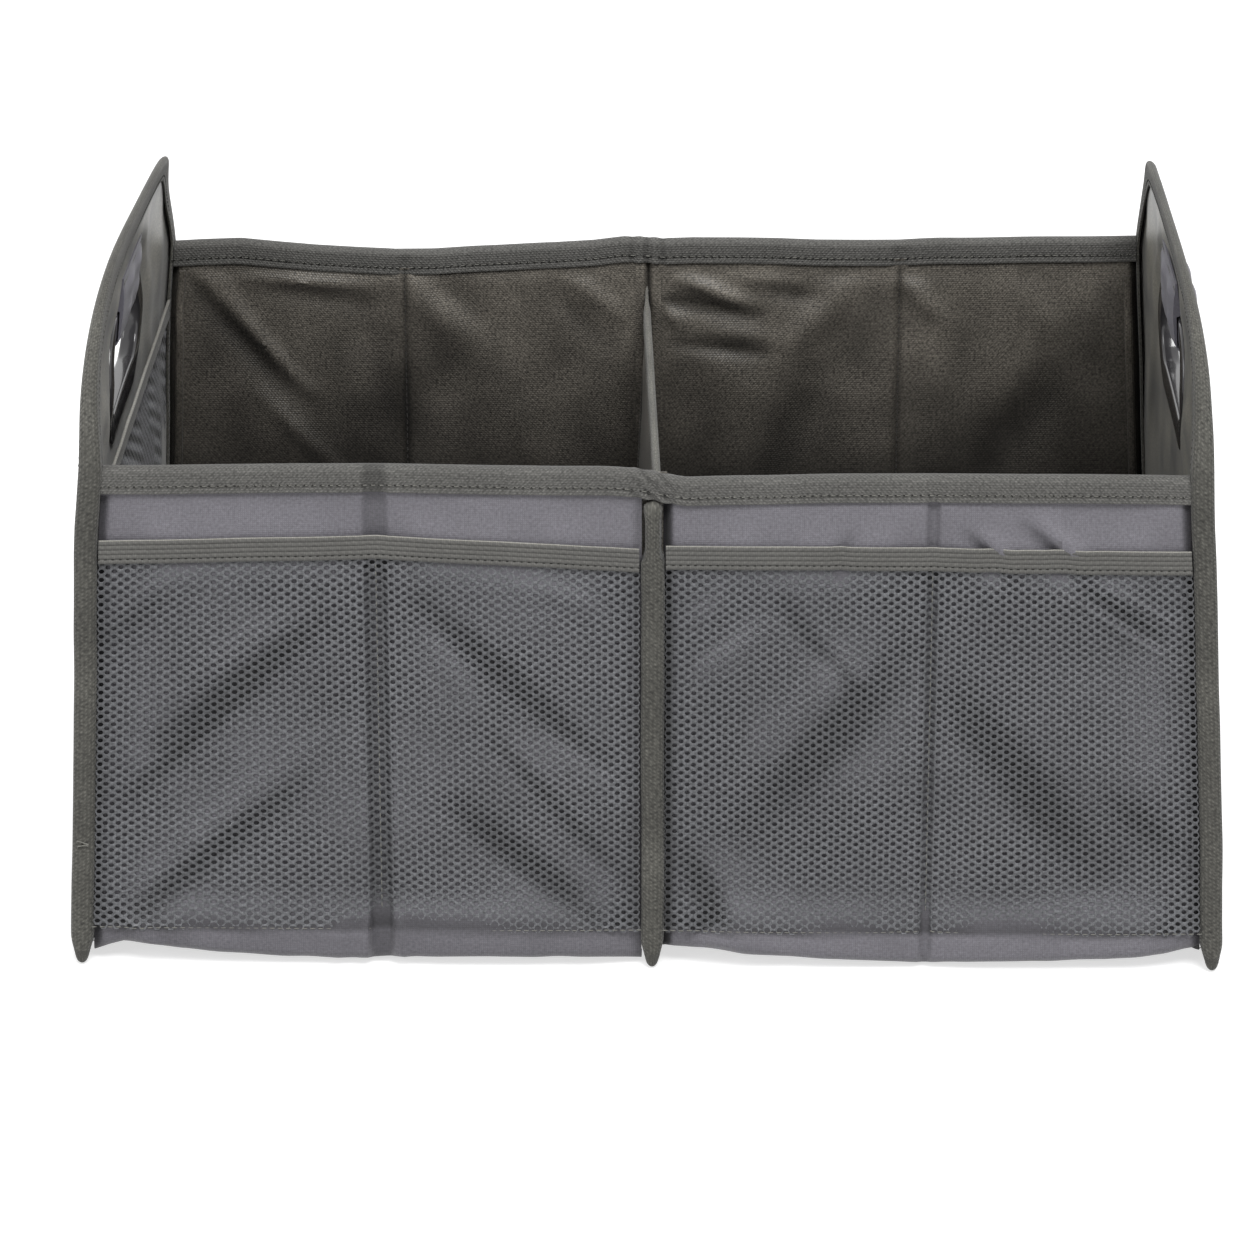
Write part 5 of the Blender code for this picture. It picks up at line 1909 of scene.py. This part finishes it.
BACK_RIGHT = WallLook(
    lining_folds=folds(
        (10, 241, 52, 221, 4.5, 2.4), (4, 224, 56, 216, 4.0, -1.9), (3, 222, 16, 211, 4, 1.8),
        (24, 196, 60, 170, 12, 0.9), (84, 180, 60, 120, 12, -1.1), (215, 190, 165, 120, 14, -1.0),
        (36, 240, 74, 236, 4, 1.4), (106, 236, 70, 194, 8, 1.7), (12, 200, 66, 194, 4, -1.2),
        (30, 207, 64, 203, 4, 1.0), (128, 240, 154, 212, 6, 1.6), (190, 235, 215, 200, 12, 0.9),
        (90, 225, 60, 230, 5, -0.8),
    ),
    outer_folds=folds((50, 200, 100, 130, 14, 1.2), (210, 190, 160, 120, 14, 1.2), (80, 80, 120, 40, 12, -1.0)),
    rim_rises=(
        (0, 4.4), (8, 3.8), (23, 4.4), (66, 4.0), (87, 3.3), (129, 3.5), (150, 4.7), (192, 5.6), (235, 6.3),
        (254, 6.5),
    ),
    shift=(-4.0, -0.8), seed=19,
)


@dataclass(frozen=True)
class Studio:
    """The pale room: a white floor, even light from all round and two broad lamps."""

    elevation: float = 21.25
    azimuth: float = 0.94
    distance: float = 2.709
    lens: float = 152.6
    target: tuple[float, float, float] = (-0.0106, 0.0, 0.1038)

    def build_camera(self) -> None:
        """The camera at the photograph's viewing angle."""
        data = bpy.data.cameras.new("camera")
        data.lens = self.lens
        data.sensor_width = 36.0
        camera = put("camera", data)
        a, e = math.radians(self.azimuth), math.radians(self.elevation)
        back = Vector((math.sin(a) * math.cos(e), -math.cos(a) * math.cos(e), math.sin(e)))
        camera.location = Vector(self.target) + back * self.distance
        camera.rotation_euler = (-back).to_track_quat("-Z", "Y").to_euler()
        bpy.context.scene.camera = camera

    def seen(self, tree: Tree) -> bpy.types.Node:
        """1 for what the camera sees, itself or in a mirror or a glass."""
        add = partial(add_node, tree)
        path = add("ShaderNodeLightPath")
        both = add(
            "ShaderNodeMath", {0: path.outputs["Is Camera Ray"], 1: path.outputs["Is Transmission Ray"]},
            operation="MAXIMUM",
        )
        return add("ShaderNodeMath", {0: both, 1: path.outputs["Is Glossy Ray"]}, operation="MAXIMUM")

    def build_floor(self) -> None:
        """A wide white floor that keeps the basket's shadow."""
        mesh = bpy.data.meshes.new("studio_floor")
        mesh.from_pydata(
            [(-9, -9, -0.0002), (9, -9, -0.0002), (9, 9, -0.0002), (-9, 9, -0.0002)], [], [(0, 1, 2, 3)]
        )
        material = bpy.data.materials.new("studio_white")
        material.use_nodes = True
        tree = material.node_tree
        tree.nodes.clear()
        add = partial(add_node, tree)
        base = add("ShaderNodeBsdfDiffuse", {"Color": linear("cccccc")})
        glow = add("ShaderNodeEmission", {"Color": (1, 1, 1, 1), "Strength": 0.65})
        clear = add("ShaderNodeEmission", {"Strength": 0.0})
        shown = add("ShaderNodeMixShader", {0: self.seen(tree), 1: clear, 2: glow})
        whole = add("ShaderNodeAddShader", {0: base, 1: shown})
        add("ShaderNodeOutputMaterial", {"Surface": whole})
        mesh.materials.append(material)
        put("studio_floor", mesh)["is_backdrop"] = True

    def build_light(self) -> None:
        """Even light from the room, a broad lamp from over the camera and a weaker one from the left."""
        world = bpy.data.worlds.new("studio")
        bpy.context.scene.world = world
        world.use_nodes = True
        tree = world.node_tree
        tree.nodes.clear()
        add = partial(add_node, tree)
        strength = add("ShaderNodeMapRange", {"Value": self.seen(tree), "To Min": 0.42, "To Max": 1.0})
        room = add("ShaderNodeBackground", {"Color": (1, 1, 1, 1), "Strength": strength})
        add("ShaderNodeOutputWorld", {"Surface": room})
        for name, turn, power, spread in (
            ("lamp_over_camera", (34, 0, 16), 2.3, 26), ("lamp_left", (52, 0, -48), 0.7, 30)
        ):
            data = bpy.data.lights.new(name, "SUN")
            data.energy = power
            data.angle = math.radians(spread)
            put(name, data).rotation_euler = tuple(math.radians(angle) for angle in turn)

    def build(self) -> None:
        """Builds the room, and sets the plain view."""
        self.build_camera()
        self.build_floor()
        self.build_light()
        bpy.context.scene.view_settings.view_transform = "Standard"


def corners(box: tuple[Vector, Vector]) -> list[list[float]]:
    """A box's two corners as plain lists."""
    return [list(corner) for corner in box]


def main() -> None:
    """Builds the basket round its frame."""
    logging.basicConfig(level=logging.INFO, format="%(name)s: %(message)s")
    cad_box = corners(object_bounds())
    Studio().build()
    for side, face, look in (
        (Side.LEFT, Face.FRONT, FRONT_LEFT), (Side.RIGHT, Face.FRONT, FRONT_RIGHT),
        (Side.LEFT, Face.BACK, BACK_LEFT), (Side.RIGHT, Face.BACK, BACK_RIGHT),
    ):
        Wall(side, face, look).build()
    Divider("divider", "divider", 0.0, 1, False, 61).build()
    for side in Side:
        EndPanel(f"{side.word}_end", f"{side.word}_end", S.end_middle, side.value, True, 30 + side.value).build()
        FloorCloth(side).build()
    LooseThread().build()
    {"cad": cad_box, "visual": corners(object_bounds())}


if __name__ == "__main__":
    main()
